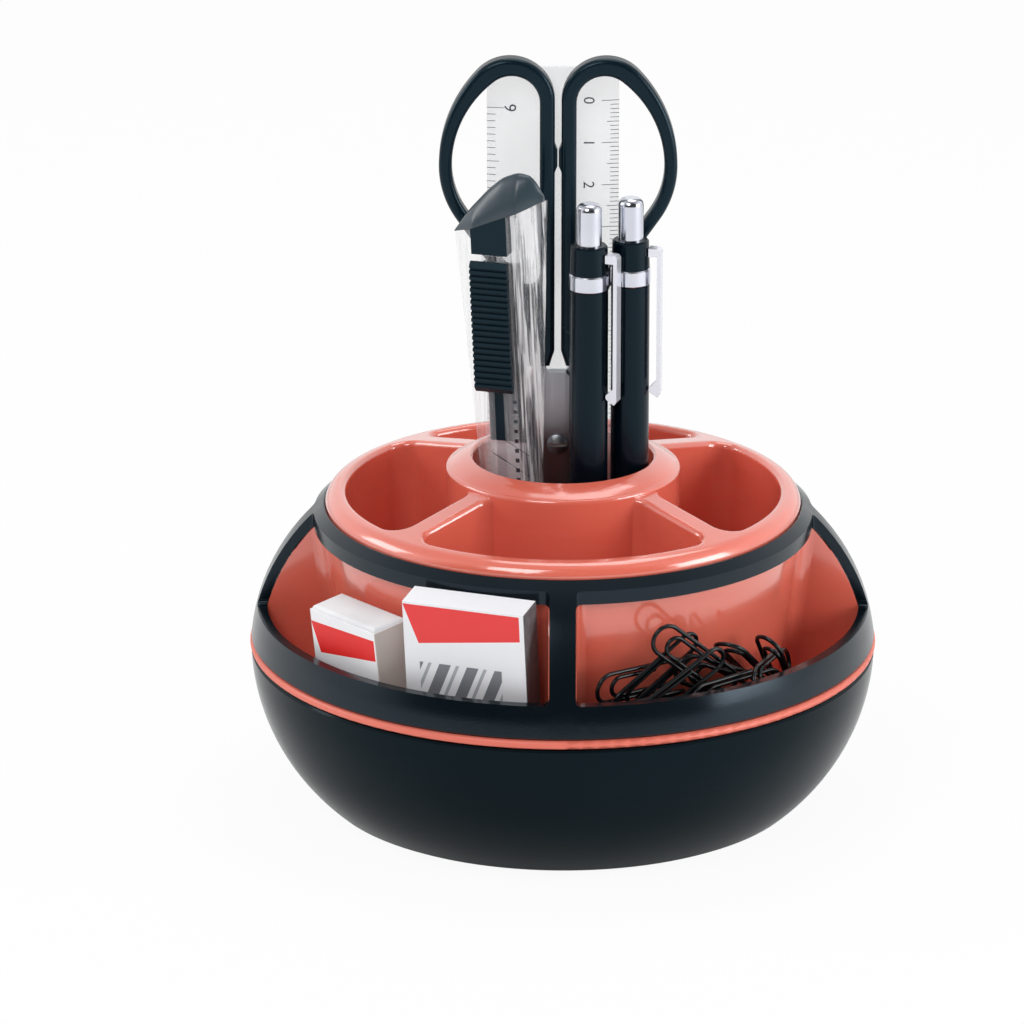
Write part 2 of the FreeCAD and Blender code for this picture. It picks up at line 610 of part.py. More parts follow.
def inner_tray():
    """Crowned ring, four wells, collar and the deep central cup, in one moulding."""
    under = S.well_floor_z - S.tray_t
    rest = S.drum_top_z + S.seam
    tray = revolved_body(
        "inner_tray",
        (S.collar_r - 1.2, under), (drum_r(under, S.drum_wall + S.fit), under),
        (drum_r(S.drum_top_z - 1.5, S.drum_wall + S.fit), S.drum_top_z - 1.5),
        (drum_r(S.drum_top_z - 1.5, S.drum_wall + S.fit), rest),
        (S.crown_out, rest), (S.crown_out, S.crown_edge_z),
        (S.crown_in, S.crown_z, 3.4), (S.collar_r - 1.2, S.divider_root_z))
    half = S.divider_w / 2

    def well(name, lift, inner, outer, spread):
        """One quarter of the ring between the dividers, with round corners."""
        corner = S.well_corner
        side = half + spread
        drawing = Drawing(tray, "XY_Plane", name, lift)
        ins, outs = inner + corner, outer - corner

        def on_circle(radius, along):
            return root(radius * radius - along * along)

        tip_in = side + corner
        a_in, a_out = on_circle(ins, tip_in), on_circle(outs, tip_in)
        in_x, in_y = tip_in * inner / ins, a_in * inner / ins
        out_x, out_y = tip_in * outer / outs, a_out * outer / outs
        drawing.outline(
            (side, a_in), (in_x, in_y, corner), (in_y, in_x, -inner), (a_in, side, corner),
            (a_out, side), (out_y, out_x, corner), (out_x, out_y, outer), (side, a_out, corner))
        return drawing

    top = S.divider_root_z + 1.0
    upper = well("Well_mouth", top, S.well_in, S.well_out, dim(0))
    lower = well("Well_floor", S.well_floor_z, S.well_in + 0.4, S.well_out_low, dim(0.4))
    cut = loft(tray, upper, lower, cut=True)
    around(tray, cut, 4)
    low_top = S.crown_z.value - 1.0

    def mouth(edge):
        spots = [v.Point for v in edge.Vertexes] + [middle(edge)]
        if any(p.z < low_top for p in spots):
            return False
        return all(math.hypot(p.x, p.y) < S.well_out.value + 0.1 for p in spots)

    def not_inner_circle(edge):
        spot = middle(edge)
        return mouth(edge) and math.hypot(spot.x, spot.y) > S.collar_r.value - 1.1

    round_edges(tray, S.edge_round, not_inner_circle)
    lip = 0.8
    cup = Drawing(tray, "XZ_Plane", "Cup_section").outline(
        (0, CUP_UNDER), (S.cup_r + S.cup_wall, CUP_UNDER),
        (S.cup_r + S.cup_wall, S.divider_root_z - 1.8),
        (S.collar_r - 1.8, S.divider_root_z - 1.8), (S.collar_r - 1.8, under),
        (S.collar_r, under), (S.collar_r, S.collar_z - lip),
        (S.collar_r - lip, S.collar_z, lip * 1.05),
        (S.cup_r + lip, S.cup_top_z, 14.0), (S.cup_r, S.cup_top_z - lip, lip * 1.05),
        (S.cup_r, S.cup_floor_z + 1.5), (S.cup_r - 1.5, S.cup_floor_z, -1.5),
        (0, S.cup_floor_z))
    revolve(tray, cup)
    core = Drawing(tray, "XY_Plane", "Divider_core", under)
    core.rectangle(S.collar_r - 2.2, -S.core_w / 2, S.well_out_low - 1.5, S.core_w / 2)
    around(tray, extrude(tray, core, S.crown_z - under - 3.0, cut=True, back=True), 4)
    pad = Drawing(tray, "XY_Plane", "Screw_pad", CUP_UNDER)
    pad.circle(S.cup_screw_ring, 0, S.boss_r)
    around(tray, extrude(tray, pad, CUP_UNDER - S.hub_floor_z, back=True), 3)
    bore = Drawing(tray, "XY_Plane", "Screw_pad_bore", S.hub_floor_z)
    bore.circle(S.cup_screw_ring, 0, S.small_screw_r + S.snug)
    around(tray, extrude(tray, bore, CUP_UNDER - S.hub_floor_z + 0.9, cut=True, back=True), 3)
    tray.Placement = FreeCAD.Placement(V(0, 0, 0), FreeCAD.Rotation(V(0, 0, 1), WELL_TURN))


def trim_frame():
    """Black trim: a domed shell with four windows that leave two rings and four spokes."""
    thick = S.trim_t
    low = STRIPE_TOP + S.seam / 4
    inner = S.crown_out + S.seam
    rest = S.drum_top_z + S.seam
    seat = drum_r(S.drum_top_z, -S.seam)
    frame = revolved_body(
        "trim_frame",
        (dome_r(low, thick), low, -(S.dome_arc - thick)), (dome_r(low, 0) - S.groove, low),
        (dome_r(low + S.groove, 0), low + S.groove),
        (inner + 0.4, dome_z(inner + 0.4, 0), S.dome_arc), (inner, dome_z(inner, 0) - 0.4, 0.5),
        (inner, rest), (seat, rest), (seat, dome_z(seat, thick)))
    side, corner = S.spoke_w / 2, S.window_corner
    # seen from above: between the upper ring and the two spokes, round corners at the ring
    centre_r, far = S.window_top_r + corner, S.bowl_max + 8
    along = root(centre_r * centre_r - (side + corner) * (side + corner))
    share = S.window_top_r / centre_r
    near_x, near_y = (side + corner) * share, along * share
    bend = S.window_low_z + corner
    plan = Drawing(frame, "XY_Plane", "Window_plan", S.crown_z)
    plan.outline((along, side, corner), (far, side), (far, far), (side, far), (side, along),
                 (near_x, near_y, corner), (near_y, near_x, -S.window_top_r))
    around(frame, extrude(frame, plan, S.crown_z - bend, cut=True), 4)
    # seen from the side: the lower corners against each spoke
    foot = Drawing(frame, "YZ_Plane", "Window_foot", far / 2)
    over = bend + 1.0
    foot.outline((side + corner, S.window_low_z, corner), (far * 0.9, S.window_low_z),
                 (far * 0.9, over), (side, over), (side, bend))
    foot.outline((-side - corner, S.window_low_z), (-side, bend, corner), (-side, over),
                 (far * -0.9, over), (far * -0.9, S.window_low_z))
    around(frame, extrude(frame, foot, far / 2, cut=True, back=True), 4)
    peg = Drawing(frame, "XY_Plane", "Peg", peg_top())
    peg.circle(peg_ring(), 0, S.peg_r)
    around(frame, extrude(frame, peg, S.peg_long, back=True), 4)


def carousel_screws():
    under = S.bowl_floor_z - S.bowl_floor_t
    countersunk_screw("tray_screws", S.boss_ring, 4, under, S.small_screw_r, S.small_head_r,
                      dim(8.6), False)
    countersunk_screw("cup_screws", S.cup_screw_ring, 3, S.hub_floor_z - S.bowl_floor_t,
                      S.small_screw_r, S.small_head_r, dim(3.6), False)
    PARTS[-1].Placement = FreeCAD.Placement(V(0, 0, 0), FreeCAD.Rotation(V(0, 0, 1), WELL_TURN))


# ---------------------------------------------------------------- scissors

def on_pivot(body):
    turned(body, S.pivot_x, S.pivot_y, S.pivot_z)


def egg(drawing, left, right, top, top_r, low_r, foot, way):
    """The round part of a handle loop: a wide side arc between a small top and a round belly."""
    mid = S.loop_mid
    across, up = right - left - top_r, top - top_r - mid
    belly = (across * across + up * up - top_r * top_r) / ((across - top_r) * 2)
    reach = belly - top_r
    top_x, top_z = left + top_r, top - top_r
    lean_x, lean_z = (top_x - right + belly) / reach, up / reach
    low_x = right - low_r + low_r * cosine(dim(35))
    low_z = mid - low_r * sine(dim(35))
    points = foot + [(low_x, low_z), (right, mid, low_r),
                     (top_x + top_r * lean_x, top_z + top_r * lean_z, belly), (left, top_z, top_r)]
    drawing.outline(*[(point[0] * way,) + mirror_arc(point[1:], way) for point in points])


def mirror_arc(rest, way):
    return rest if len(rest) == 1 or way > 0 else (rest[0], -dim(rest[1]))


def handle(label, way):
    """One half of the handle: a loop round the fingers, flat where the two halves meet."""
    body = new_body(label)
    side, low = S.handle_side, S.handle_low
    grip = Drawing(body, "XZ_Plane", "Loop")
    foot = [(side, low + 3.7), (side + 1.15, low), (dim(7.2), low), (dim(7.6), low + 12.8)]
    egg(grip, side, S.loop_wide, S.loop_top, S.loop_top_r, S.loop_low_r, foot, way)
    bar = S.loop_bar
    right, left, small = S.loop_wide - bar, S.hole_left, S.hole_low_r
    low_r = S.loop_low_r - bar
    belly_x = right - low_r + low_r * cosine(dim(35))
    belly_z = S.loop_mid - low_r * sine(dim(35))
    run = (belly_x - small * cosine(dim(35)) - left - small) / sine(dim(35))
    end_x, end_z = belly_x - run * sine(dim(35)), belly_z - run * cosine(dim(35))
    turn_z = end_z + small * sine(dim(35))
    egg(grip, left, right, S.loop_top - bar * 1.4, S.hole_top_r, low_r,
        [(left, turn_z), (end_x, end_z, small)], way)
    extrude(body, grip, S.handle_deep, both=True)
    face = S.handle_deep.value / 2

    def rim(edge):
        spots = [v.Point for v in edge.Vertexes] + [middle(edge)]
        return all(abs(abs(p.y) - face) < 0.01 for p in spots)

    round_edges(body, S.grip_round, rim)
    bump = Drawing(body, "XZ_Plane", "Stop")
    bump.outline((side * way * 1.4, dim(65)), (side * way * 1.4, dim(71.5)), (side * way, dim(71.5)),
                 (dim(0.14 * way), dim(70)), (dim(0.14 * way), dim(66.5)), (side * way, dim(65)))
    extrude(body, bump, S.handle_deep / 2, both=True)
    depth = S.blade_t + S.snug * 2
    tang = S.tang_w / 2 + S.snug
    # the front blade's tang goes into the left half, the back blade's into the right
    slot = Drawing(body, "XZ_Plane", "Tang_slot", depth if way < 0 else dim(0))
    slot.rectangle(way * 4.1 - tang, low - 1, way * 4.1 + tang, S.tang_top + S.snug * 2)
    extrude(body, slot, depth, cut=True)
    on_pivot(body)


def scissor_blade(label, way):
    """A pointed blade, its pivot bore and the tang inside the handle; way -1 is the back one."""
    body = new_body(label)
    half = S.blade_half
    neck = S.tang_top - 16.0
    in_x, out_x = dim(4.1) - S.tang_w / 2, dim(4.1) + S.tang_w / 2
    points = [(0.5, -S.blade_long), (4.6, -S.blade_long * 0.69), (half, dim(-10)), (half, dim(3)),
              (4.6, dim(14.5)), (1.9, neck - 0.8), (-1.9, neck - 0.8), (-in_x, neck),
              (-in_x, S.tang_top), (-out_x, S.tang_top), (-out_x, neck), (-half + 0.9, dim(15)),
              (-half, dim(3)), (-7.0, dim(-6)), (-2.4, dim(-12)), (-0.6, -S.blade_long + 1.4)]
    front = S.blade_t + S.snug * 2 if way > 0 else -S.snug
    plate = Drawing(body, "XZ_Plane", "Blade", front)
    plate.outline(*[(dim(x) * way, z) for x, z in points])
    plate.circle(0, 0, S.pivot_r + S.snug)
    extrude(body, plate, S.blade_t, back=True)
    on_pivot(body)


def scissors():
    handle("scissors_left_handle", -1)
    handle("scissors_right_handle", 1)
    scissor_blade("scissors_front_blade", 1)
    scissor_blade("scissors_back_blade", -1)
    rim, shank = S.pivot_head_r, S.pivot_r
    front, back = S.blade_t + S.snug * 2, S.blade_t + S.snug
    screw = revolved_body(
        "scissors_screw",
        (0, -back - 1.0), (rim, -back - 1.0), (rim, -back), (shank - S.snug, -back),
        (shank - S.snug, front), (rim, front), (rim, front + 0.5), (0, front + 1.2, rim * 2.3))
    slot = Drawing(screw, "XY_Plane", "Driver_slot", front + 1.6)
    slot.rectangle(-rim * 1.2, -0.35, rim * 1.2, 0.35)
    extrude(screw, slot, 1.0, cut=True)
    turned(screw, S.pivot_x, S.pivot_y, S.pivot_z, FreeCAD.Rotation(V(1, 0, 0), 90))


# ---------------------------------------------------------------- ruler

def ruler():
    """A flat rule whose two long edges are bevelled on the front."""
    body = new_body("ruler")
    half, back = S.ruler_w / 2, S.ruler_t / 2
    section = Drawing(body, "XY_Plane", "Section")
    section.outline((-half, back), (-half, back - S.ruler_edge_t),
                    (-half + S.ruler_bevel, -back), (half - S.ruler_bevel, -back),
                    (half, back - S.ruler_edge_t), (half, back))
    extrude(body, section, S.ruler_long)
    for top in (0, 1):
        for way in (-1, 1):
            x, z = half * way, S.ruler_long * top
            in_x, in_z = x - S.ruler_corner * way, z + S.ruler_corner * (1 - 2 * top)
            corner = Drawing(body, "XZ_Plane", "Corner")
            turn = S.ruler_corner * (way * (1 - 2 * top))
            corner.outline((x + way, in_z), (x, in_z), (in_x, z, turn),
                           (in_x, z + (2 * top - 1)), (x + way, z + (2 * top - 1)))
            extrude(body, corner, S.ruler_t * 3, cut=True, both=True)
    turned(body, S.ruler_x, S.ruler_y, S.cup_floor_z + S.snug * 2)


# ---------------------------------------------------------------- snap-off knife

KNIFE_AXIS = V(S.knife_slope_x.value, S.knife_slope_y.value, 1)
KNIFE_POSE = FreeCAD.Rotation(V(0, 0, 1), KNIFE_AXIS).multiply(
    FreeCAD.Rotation(V(0, 0, 1), S.knife_turn.value))


def in_knife(body):
    turned(body, S.knife_x, S.knife_y, S.cup_floor_z + 0.4, KNIFE_POSE)


def hexagon(body, name, level, wide, face, deep):
    half, flat, side = wide / 2, face / 2, deep / 2
    return Drawing(body, "XY_Plane", name, level).outline(
        (-half, 0), (-flat, -side), (flat, -side), (half, 0), (flat, side), (-flat, side))


def knife_tail(body):
    loft(body, hexagon(body, "Middle", S.knife_mid_at, S.knife_mid, S.mid_face, S.mid_deep),
         hexagon(body, "Tail", S.knife_tail_at, S.knife_tail, S.tail_face, S.tail_deep))


def slant_z(x, drop):
    """Height of the slanting joint between the body and the end cap."""
    share = (x - S.cap_low_x) / (S.cap_high_x - S.cap_low_x)
    return S.cap_low + (S.cap_high - S.cap_low) * share - drop


def knife():
    body = new_body("knife_body")
    loft(body, hexagon(body, "Nose", dim(0), S.knife_nose, S.nose_face, S.nose_deep),
         hexagon(body, "Waist", S.knife_mid_at, S.knife_mid, S.mid_face, S.mid_deep))
    knife_tail(body)
    wide, top = S.knife_tail, S.knife_tail_at + 2
    cut = Drawing(body, "XZ_Plane", "Slanted_end").outline(
        (-wide, slant_z(-wide, 0.1)), (wide, slant_z(wide, 0.1)), (wide, top + 20), (-wide, top + 20))
    extrude(body, cut, S.tail_deep * 2, cut=True, both=True)
    half, thin = S.channel_w / 2, S.channel_t / 2
    channel = Drawing(body, "XY_Plane", "Channel").rectangle(-half, -thin, half, thin)
    extrude(body, channel, top, cut=True, back=True)
    slot = Drawing(body, "XZ_Plane", "Slot")
    left, right = -S.slider_side - S.slot_w / 2, -S.slider_side + S.slot_w / 2
    slot.rectangle(left, S.slot_low, right, S.slot_top)
    extrude(body, slot, S.tail_deep, cut=True, back=True)
    in_knife(body)

    cap = new_body("knife_end_cap")
    knife_tail(cap)
    outside = Drawing(cap, "XZ_Plane", "Cap_outline")
    outside.rectangle(-wide, S.knife_mid_at - 10, wide, top + 20)
    outside.outline((S.cap_low_x, S.cap_low), (S.cap_high_x, S.cap_high),
                    (S.cap_peak_x + 1.6, S.cap_peak - 1.0), (S.cap_peak_x - 1.6, S.cap_peak - 1.2, 2.2))
    extrude(cap, outside, S.tail_deep * 2, cut=True, both=True)
    tongue = Drawing(cap, "XY_Plane", "Tongue", S.cap_low - S.tongue)
    tongue.rectangle(-half + 0.1, -thin + S.snug, half - 0.1, thin - S.snug)
    extrude(cap, tongue, S.tongue + 5.0)
    in_knife(cap)

    slider = new_body("knife_slider")
    low, ribs, pitch = S.slider_at, int(S.slider_ribs.value), S.slider_rib
    front, rear = -(S.tail_deep / 2 + 1.4), -(S.tail_deep / 2 - 0.2)
    # seen from the side: a row of thumb ribs between two plain ends
    points = [(rear, low), (front + 0.9, low), (front, low + 1.2)]
    for i in range(ribs):
        at = low + 1.2 + pitch * i
        points += [(front, at + pitch * 0.5), (front + 0.55, at + pitch * 0.6),
                   (front + 0.55, at + pitch * 0.95), (front, at + pitch * 1.0)]
    points += [(front + 0.9, low + 2.4 + pitch * ribs), (rear, low + 2.4 + pitch * ribs)]
    pad = Drawing(slider, "YZ_Plane", "Pad", -S.slider_side).outline(*reversed(points))
    extrude(slider, pad, S.slider_w, both=True)
    carrier = thin - S.snug
    stem = Drawing(slider, "YZ_Plane", "Stem", -S.slider_side)
    stem.rectangle(rear - 0.2, low + 1, -carrier + 0.1, low + 1 + pitch * ribs)
    extrude(slider, stem, S.slot_w - S.snug * 2, both=True)
    plate = Drawing(slider, "YZ_Plane", "Carrier")
    pin_z = S.snap_recess + S.snap_long - 5.5
    plate.rectangle(-carrier, pin_z - 3.8, S.snug * 3, low + 1 + pitch * ribs)
    extrude(slider, plate, S.snap_w, both=True)
    pin = Drawing(slider, "XZ_Plane", "Pin").circle(0, pin_z, S.pin_r)
    extrude(slider, pin, S.snug * 3 + S.snap_t + 0.1)
    slider.Tip.Reversed = True
    in_knife(slider)

    blade = new_body("knife_blade")
    edge = S.snap_w / 2
    tip, end = S.snap_recess, S.snap_recess + S.snap_long
    plan = Drawing(blade, "XZ_Plane", "Blade", -S.snug * 4)
    plan.outline((-edge, tip), (edge, tip + S.snap_w * 0.55), (edge, end - 1), (edge - 1, end),
                 (-edge + 1, end), (-edge, end - 1))
    plan.circle(0, pin_z, S.pin_r + S.snug)
    extrude(blade, plan, S.snap_t, back=True)
    in_knife(blade)


# ---------------------------------------------------------------- pens

def pen(name, x, y, turn):
    """A click pen that stands on its tip; the pocket clip gives its turn."""
    foot = S.cup_floor_z + S.snug * 2
    bore, spigot = S.pen_bore, S.pen_bore - S.snug
    nose, ring, ring_top = S.nose_long, S.ring_at, S.ring_at + S.ring_tall

    def piece(part, *points):
        body = revolved_body("%s_%s" % (name, part), *points)
        turned(body, x, y, foot, turn)
        return body

    piece("nose", (S.nose_hole, 0), (S.nose_tip_r, 0), (S.pen_r - 0.1, nose), (spigot, nose),
          (spigot, nose + S.spigot), (bore - 0.4, nose + S.spigot), (bore - 0.4, nose - 3),
          (S.refill_front_r + 0.2, nose - 3), (S.refill_front_r + 0.2, 3), (S.nose_hole, 3))
    piece("barrel", (bore, nose), (S.pen_r, nose), (S.pen_r, ring), (bore, ring))
    proud = S.pen_r + S.ring_proud
    piece("ring", (bore, ring), (proud - 0.3, ring), (proud, ring + 0.4), (proud, ring_top - 0.4),
          (proud - 0.3, ring_top), (bore, ring_top))
    hole, neck = S.button_r + S.snug, S.stem_r + S.run_gap
    piece("cap", (neck, ring - 2.6), (spigot, ring - 2.6), (spigot, ring_top), (S.pen_r, ring_top),
          (S.pen_r - 0.2, S.cap_top - 0.4), (S.pen_r - 0.6, S.cap_top), (hole, S.cap_top),
          (hole, S.cap_seat), (neck, S.cap_seat))
    head = S.button_r
    piece("button", (0, S.stem_low), (S.stem_r, S.stem_low), (S.stem_r, S.cap_top - 0.6),
          (head, S.cap_top - 0.6), (head, S.button_top - 1.6),
          (head - 1.6, S.button_top, 1.7), (0, S.button_top))
    refill, front, collar = S.refill_r, S.refill_front_r, S.collar_at
    piece("refill", (0, S.click + 0.2), (S.refill_tip_r - 0.2, S.click + 0.2),
          (S.refill_tip_r, S.click + 0.9), (S.refill_tip_r, S.click + 3.0),
          (front, S.click + 3.6), (front, nose + S.spigot), (refill, nose + S.spigot + 0.4),
          (refill, collar), (S.coil_r + 0.5, collar), (S.coil_r + 0.5, collar + 1.2),
          (refill, collar + 1.2), (refill, S.stem_low - 0.1), (0, S.stem_low - 0.1))
    spring(name, x, y, foot, nose - 3 + 0.1, collar - 0.1)
    clip = new_body(name + "_clip")
    out, thick = S.wire_clip_out, S.wire_clip_t
    low, top = S.wire_clip_low, S.wire_clip_top
    inside = out - thick
    touch = S.pen_r - 0.06
    strap = Drawing(clip, "XZ_Plane", "Clip_side").outline(
        (touch, top - 1.9), (inside, top - 1.9), (inside, low + 3.4), (touch + 0.7, low + 2.2),
        (touch + 0.7, low + 0.6, 0.94), (inside + 0.3, low - 0.4), (out, low + 0.4),
        (out, top - 1.0), (out - 1.0, top, 1.0), (touch, top))
    extrude(clip, strap, S.wire_clip_w, both=True)
    turned(clip, x, y, foot, turn)


def spring(name, x, y, foot, low, high):
    """A coil between the nose and the refill's collar."""
    wire, turns = S.coil_wire, S.coil_turns
    tall = high - low - wire * 2
    path = doc.addObject("Part::Helix", name + "_coil")
    bind(path, "Radius", S.coil_r)
    bind(path, "Height", tall)
    bind(path, "Pitch", tall / turns)
    ring = doc.addObject("Part::Circle", name + "_wire")
    bind(ring, "Radius", wire)
    ring.Placement = FreeCAD.Placement(V(0, 0, 0), FreeCAD.Rotation(V(1, 0, 0), 90))
    bind(ring, "Placement.Base.x", S.coil_r)
    coil = doc.addObject("Part::Sweep", name + "_spring")
    coil.Sections = [ring]
    coil.Spine = (path, ["Edge1"])
    coil.Solid = True
    coil.Frenet = True
    keep(coil, name + "_spring")
    turned(coil, x, y, foot + low + wire)


# ---------------------------------------------------------------- outer compartments

def leaning(body, turn, off, sideways, deep):
    """Stands a box against the drum; its origin is the middle of the lower back edge."""
    low = S.rest_z + deep * sine(S.lean)
    radius = drum_r(low, -off)
    pose = FreeCAD.Rotation(V(0, 0, 1), turn.value).multiply(
        FreeCAD.Rotation(V(1, 0, 0), S.lean.value))
    turned(body, radius * sine(turn) + sideways * cosine(turn),
           sideways * sine(turn) - radius * cosine(turn), low, pose)


def box_drawing(body, name, lift, wide, front, back):
    return Drawing(body, "XY_Plane", name, lift).rectangle(-wide / 2, -front, wide / 2, -back)


def carton():
    """A card carton of staples: open at neither end, the strips standing inside."""
    box = new_body("staple_carton")
    wide, deep, tall, card = S.carton_w, S.carton_deep, S.carton_tall, S.card
    extrude(box, box_drawing(box, "Outside", dim(0), wide, deep, dim(0)), tall)
    hollow = box_drawing(box, "Inside", dim(0), wide - card * 2, deep - card, card)
    extrude(box, hollow, tall - card, cut=True, back=True)
    flap = box_drawing(box, "Lower_flap", dim(0), wide - card * 2 + 0.2, deep - card + 0.1, card - 0.1)
    extrude(box, flap, card)
    leaning(box, S.carton_turn, S.carton_off, S.carton_side, S.carton_deep)

    strips = new_body("staple_strips")
    half, leg, wall = S.strip_w / 2, S.strip_deep, S.strip_t
    back = card + (deep - card * 2 - leg) / 2
    for row in (0, 1):
        level = card + 0.3 + (S.strip_long + 0.5) * row
        section = Drawing(strips, "XY_Plane", "Strip_section", level)
        for column in (-1, 1):
            x = (half + 0.3) * column
            section.outline(
                (x - half, -back - leg), (x - half + wall, -back - leg),
                (x - half + wall, -back - wall), (x + half - wall, -back - wall),
                (x + half - wall, -back - leg), (x + half, -back - leg), (x + half, -back),
                (x - half, -back))
        extrude(strips, section, S.strip_long)
    leaning(strips, S.carton_turn, S.carton_off, S.carton_side, S.carton_deep)


def eraser():
    """A block eraser in a card sleeve that leaves both ends of the block free."""
    block = new_body("eraser")
    wide, deep, tall, card = S.eraser_w, S.eraser_deep, S.eraser_tall, S.sleeve_t
    gap = S.snug
    extrude(block, box_drawing(block, "Block", dim(0), wide, deep + card + gap, card + gap), tall)
    high = tall.value

    def top_edge(edge):
        return all(abs(v.Point.z - high) < 0.01 for v in edge.Vertexes)

    round_edges(block, dim(0.9), top_edge)
    whole = deep + (card + gap) * 2
    leaning(block, S.eraser_turn, S.eraser_off, S.eraser_side, whole)
    sleeve = new_body("eraser_sleeve")
    outer, inner = wide + (card + gap) * 2, wide + gap * 2
    level = tall * 0.08
    around_block = box_drawing(sleeve, "Sleeve", level, outer, whole, dim(0))
    around_block.rectangle(-inner / 2, -deep - card - gap * 2, inner / 2, -card)
    extrude(sleeve, around_block, tall * 0.895)
    leaning(sleeve, S.eraser_turn, S.eraser_off, S.eraser_side, whole)


# the clips on top of the heap: azimuth, radius, height, yaw, pitch, roll
THROWN = [
    (29.5, 60.5, 51.5, -1, 40, 87),
    (21, 58.5, 49, 9, -33, 72),
    (25, 63.5, 47, 9, -26, 80),
    (37.5, 59, 45, -6, 25, 79),
    (16, 59, 43, 20, 1, 28),
    (45.5, 58, 46.5, 17, 38, 3),
    (38.5, 63.5, 43.5, -0, -1, -84),
    (50, 62, 44.5, 21, 4, -78),
    (18, 57.5, 47.5, 22, 3, 82),
    (54, 61, 42.5, 8, 56, -15),
    (40, 57.5, 42.5, -11, 31, -89),
]


def paper_clips():
    """A heap of wire clips: two loose piles and some clips thrown on top."""
    wire, outer, mid, inner = (S.clip_wire.value, S.clip_outer.value, S.clip_middle.value,
                               S.clip_inner.value)
    top, short = S.clip_long.value, S.clip_short.value
    bottom = -top - 0.1
    left = outer - 2 * mid
    path = Part.Wire([
        Part.makeLine(V(outer, -4.5, 0), V(outer, top, 0)),
        Part.Arc(V(outer, top, 0), V(0, top + outer, 0), V(-outer, top, 0)).toShape(),
        Part.makeLine(V(-outer, top, 0), V(-outer, bottom, 0)),
        Part.Arc(V(-outer, bottom, 0), V(mid - outer, bottom - mid, 0),
                 V(2 * mid - outer, bottom, 0)).toShape(),
        Part.makeLine(V(2 * mid - outer, bottom, 0), V(2 * mid - outer, short, 0)),
        Part.Arc(V(2 * mid - outer, short, 0), V(2 * mid - outer - inner, short + inner, 0),
                 V(2 * mid - outer - 2 * inner, short, 0)).toShape(),
        Part.makeLine(V(2 * mid - outer - 2 * inner, short, 0),
                      V(2 * mid - outer - 2 * inner, -3.5, 0))])
    end = Part.Wire(Part.makeCircle(wire, V(outer, -4.5, 0), V(0, 1, 0)))
    clip = path.makePipeShell([end], True, False)

    def laid(azimuth, radius, z, yaw, pitch, roll):
        """Azimuth runs from the front towards the right; yaw 0 lies along the drum."""
        out = math.radians(azimuth)
        pose = FreeCAD.Rotation(V(0, 0, 1), azimuth + 90 + yaw)
        pose = pose.multiply(FreeCAD.Rotation(V(1, 0, 0), pitch))
        pose = pose.multiply(FreeCAD.Rotation(V(0, 1, 0), roll))
        place = FreeCAD.Placement(V(radius * math.sin(out), -radius * math.cos(out), z), pose)
        copy = clip.copy()
        copy.Placement = place
        return copy

    heap = []
    for pile, count in ((-1, 11), (0, 10)):
        for layer in range(count):
            yaw = 3.0 * ((layer * 2 + pile) % 3 - 1)
            z = S.pile_low.value + S.pile_step.value * layer
            heap.append(laid(45 + 26 * pile, S.pile_r.value, z, yaw, 0, 0))
    for azimuth, radius, z, yaw, pitch, roll in THROWN:
        heap.append(laid(azimuth, radius, z, yaw, pitch, roll))
    group = doc.addObject("Part::Feature", "paper_clips")
    group.Shape = Part.makeCompound(heap)
    keep(group, "paper_clips")


base_plate()
rubber_feet()
bearing()
centre_fixing()
bowl()
outer_tray()
inner_tray()
trim_frame()
carousel_screws()
scissors()
ruler()
knife()
pen("pen_1", dim(5.8), dim(-9.3), -20)
pen("pen_2", dim(15.25), dim(-4.5), -10)
carton()
eraser()
paper_clips()

# ---------------------------------------------------------------- checks and files

doc.recompute()
for item in doc.Objects:
    if "Invalid" in item.State or "Error" in item.State:
        raise RuntimeError("failed: %s %s" % (item.Label, item.State))
os.makedirs("parts", exist_ok=True)
for part in PARTS:
    if part.Shape.isNull() or not part.Shape.isValid():
        raise RuntimeError("bad shape: " + part.Label)
    part.Shape.exportStep("parts/%s.step" % part.Label)
    print(part.Label, len(part.Shape.Solids), round(part.Shape.Volume, 2))
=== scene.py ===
import math

import bmesh
import bpy
from mathutils import Euler, Matrix, Quaternion, Vector


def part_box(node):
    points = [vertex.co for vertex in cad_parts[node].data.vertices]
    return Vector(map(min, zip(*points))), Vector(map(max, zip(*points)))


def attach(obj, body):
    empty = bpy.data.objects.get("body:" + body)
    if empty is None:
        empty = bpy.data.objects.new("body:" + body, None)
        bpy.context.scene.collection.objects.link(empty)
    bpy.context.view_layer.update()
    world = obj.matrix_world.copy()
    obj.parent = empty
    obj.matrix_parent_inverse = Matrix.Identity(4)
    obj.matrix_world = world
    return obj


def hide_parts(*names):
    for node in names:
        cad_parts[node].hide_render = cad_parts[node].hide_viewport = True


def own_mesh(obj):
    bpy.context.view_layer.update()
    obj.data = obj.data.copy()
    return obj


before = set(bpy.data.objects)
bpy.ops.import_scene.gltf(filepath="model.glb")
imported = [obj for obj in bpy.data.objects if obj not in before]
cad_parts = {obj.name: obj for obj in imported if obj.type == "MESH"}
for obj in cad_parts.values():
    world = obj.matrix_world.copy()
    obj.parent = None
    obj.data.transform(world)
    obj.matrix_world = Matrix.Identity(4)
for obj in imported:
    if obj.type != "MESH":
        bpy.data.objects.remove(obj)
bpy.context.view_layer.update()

# --- Stand: base disc and feet -----------------------------------------------------------
# The part that stays still on the desk: a dark disc of glass-filled plastic with a moulded
# spark grain, on four soft black rubber pads that are pressed into sockets under it.


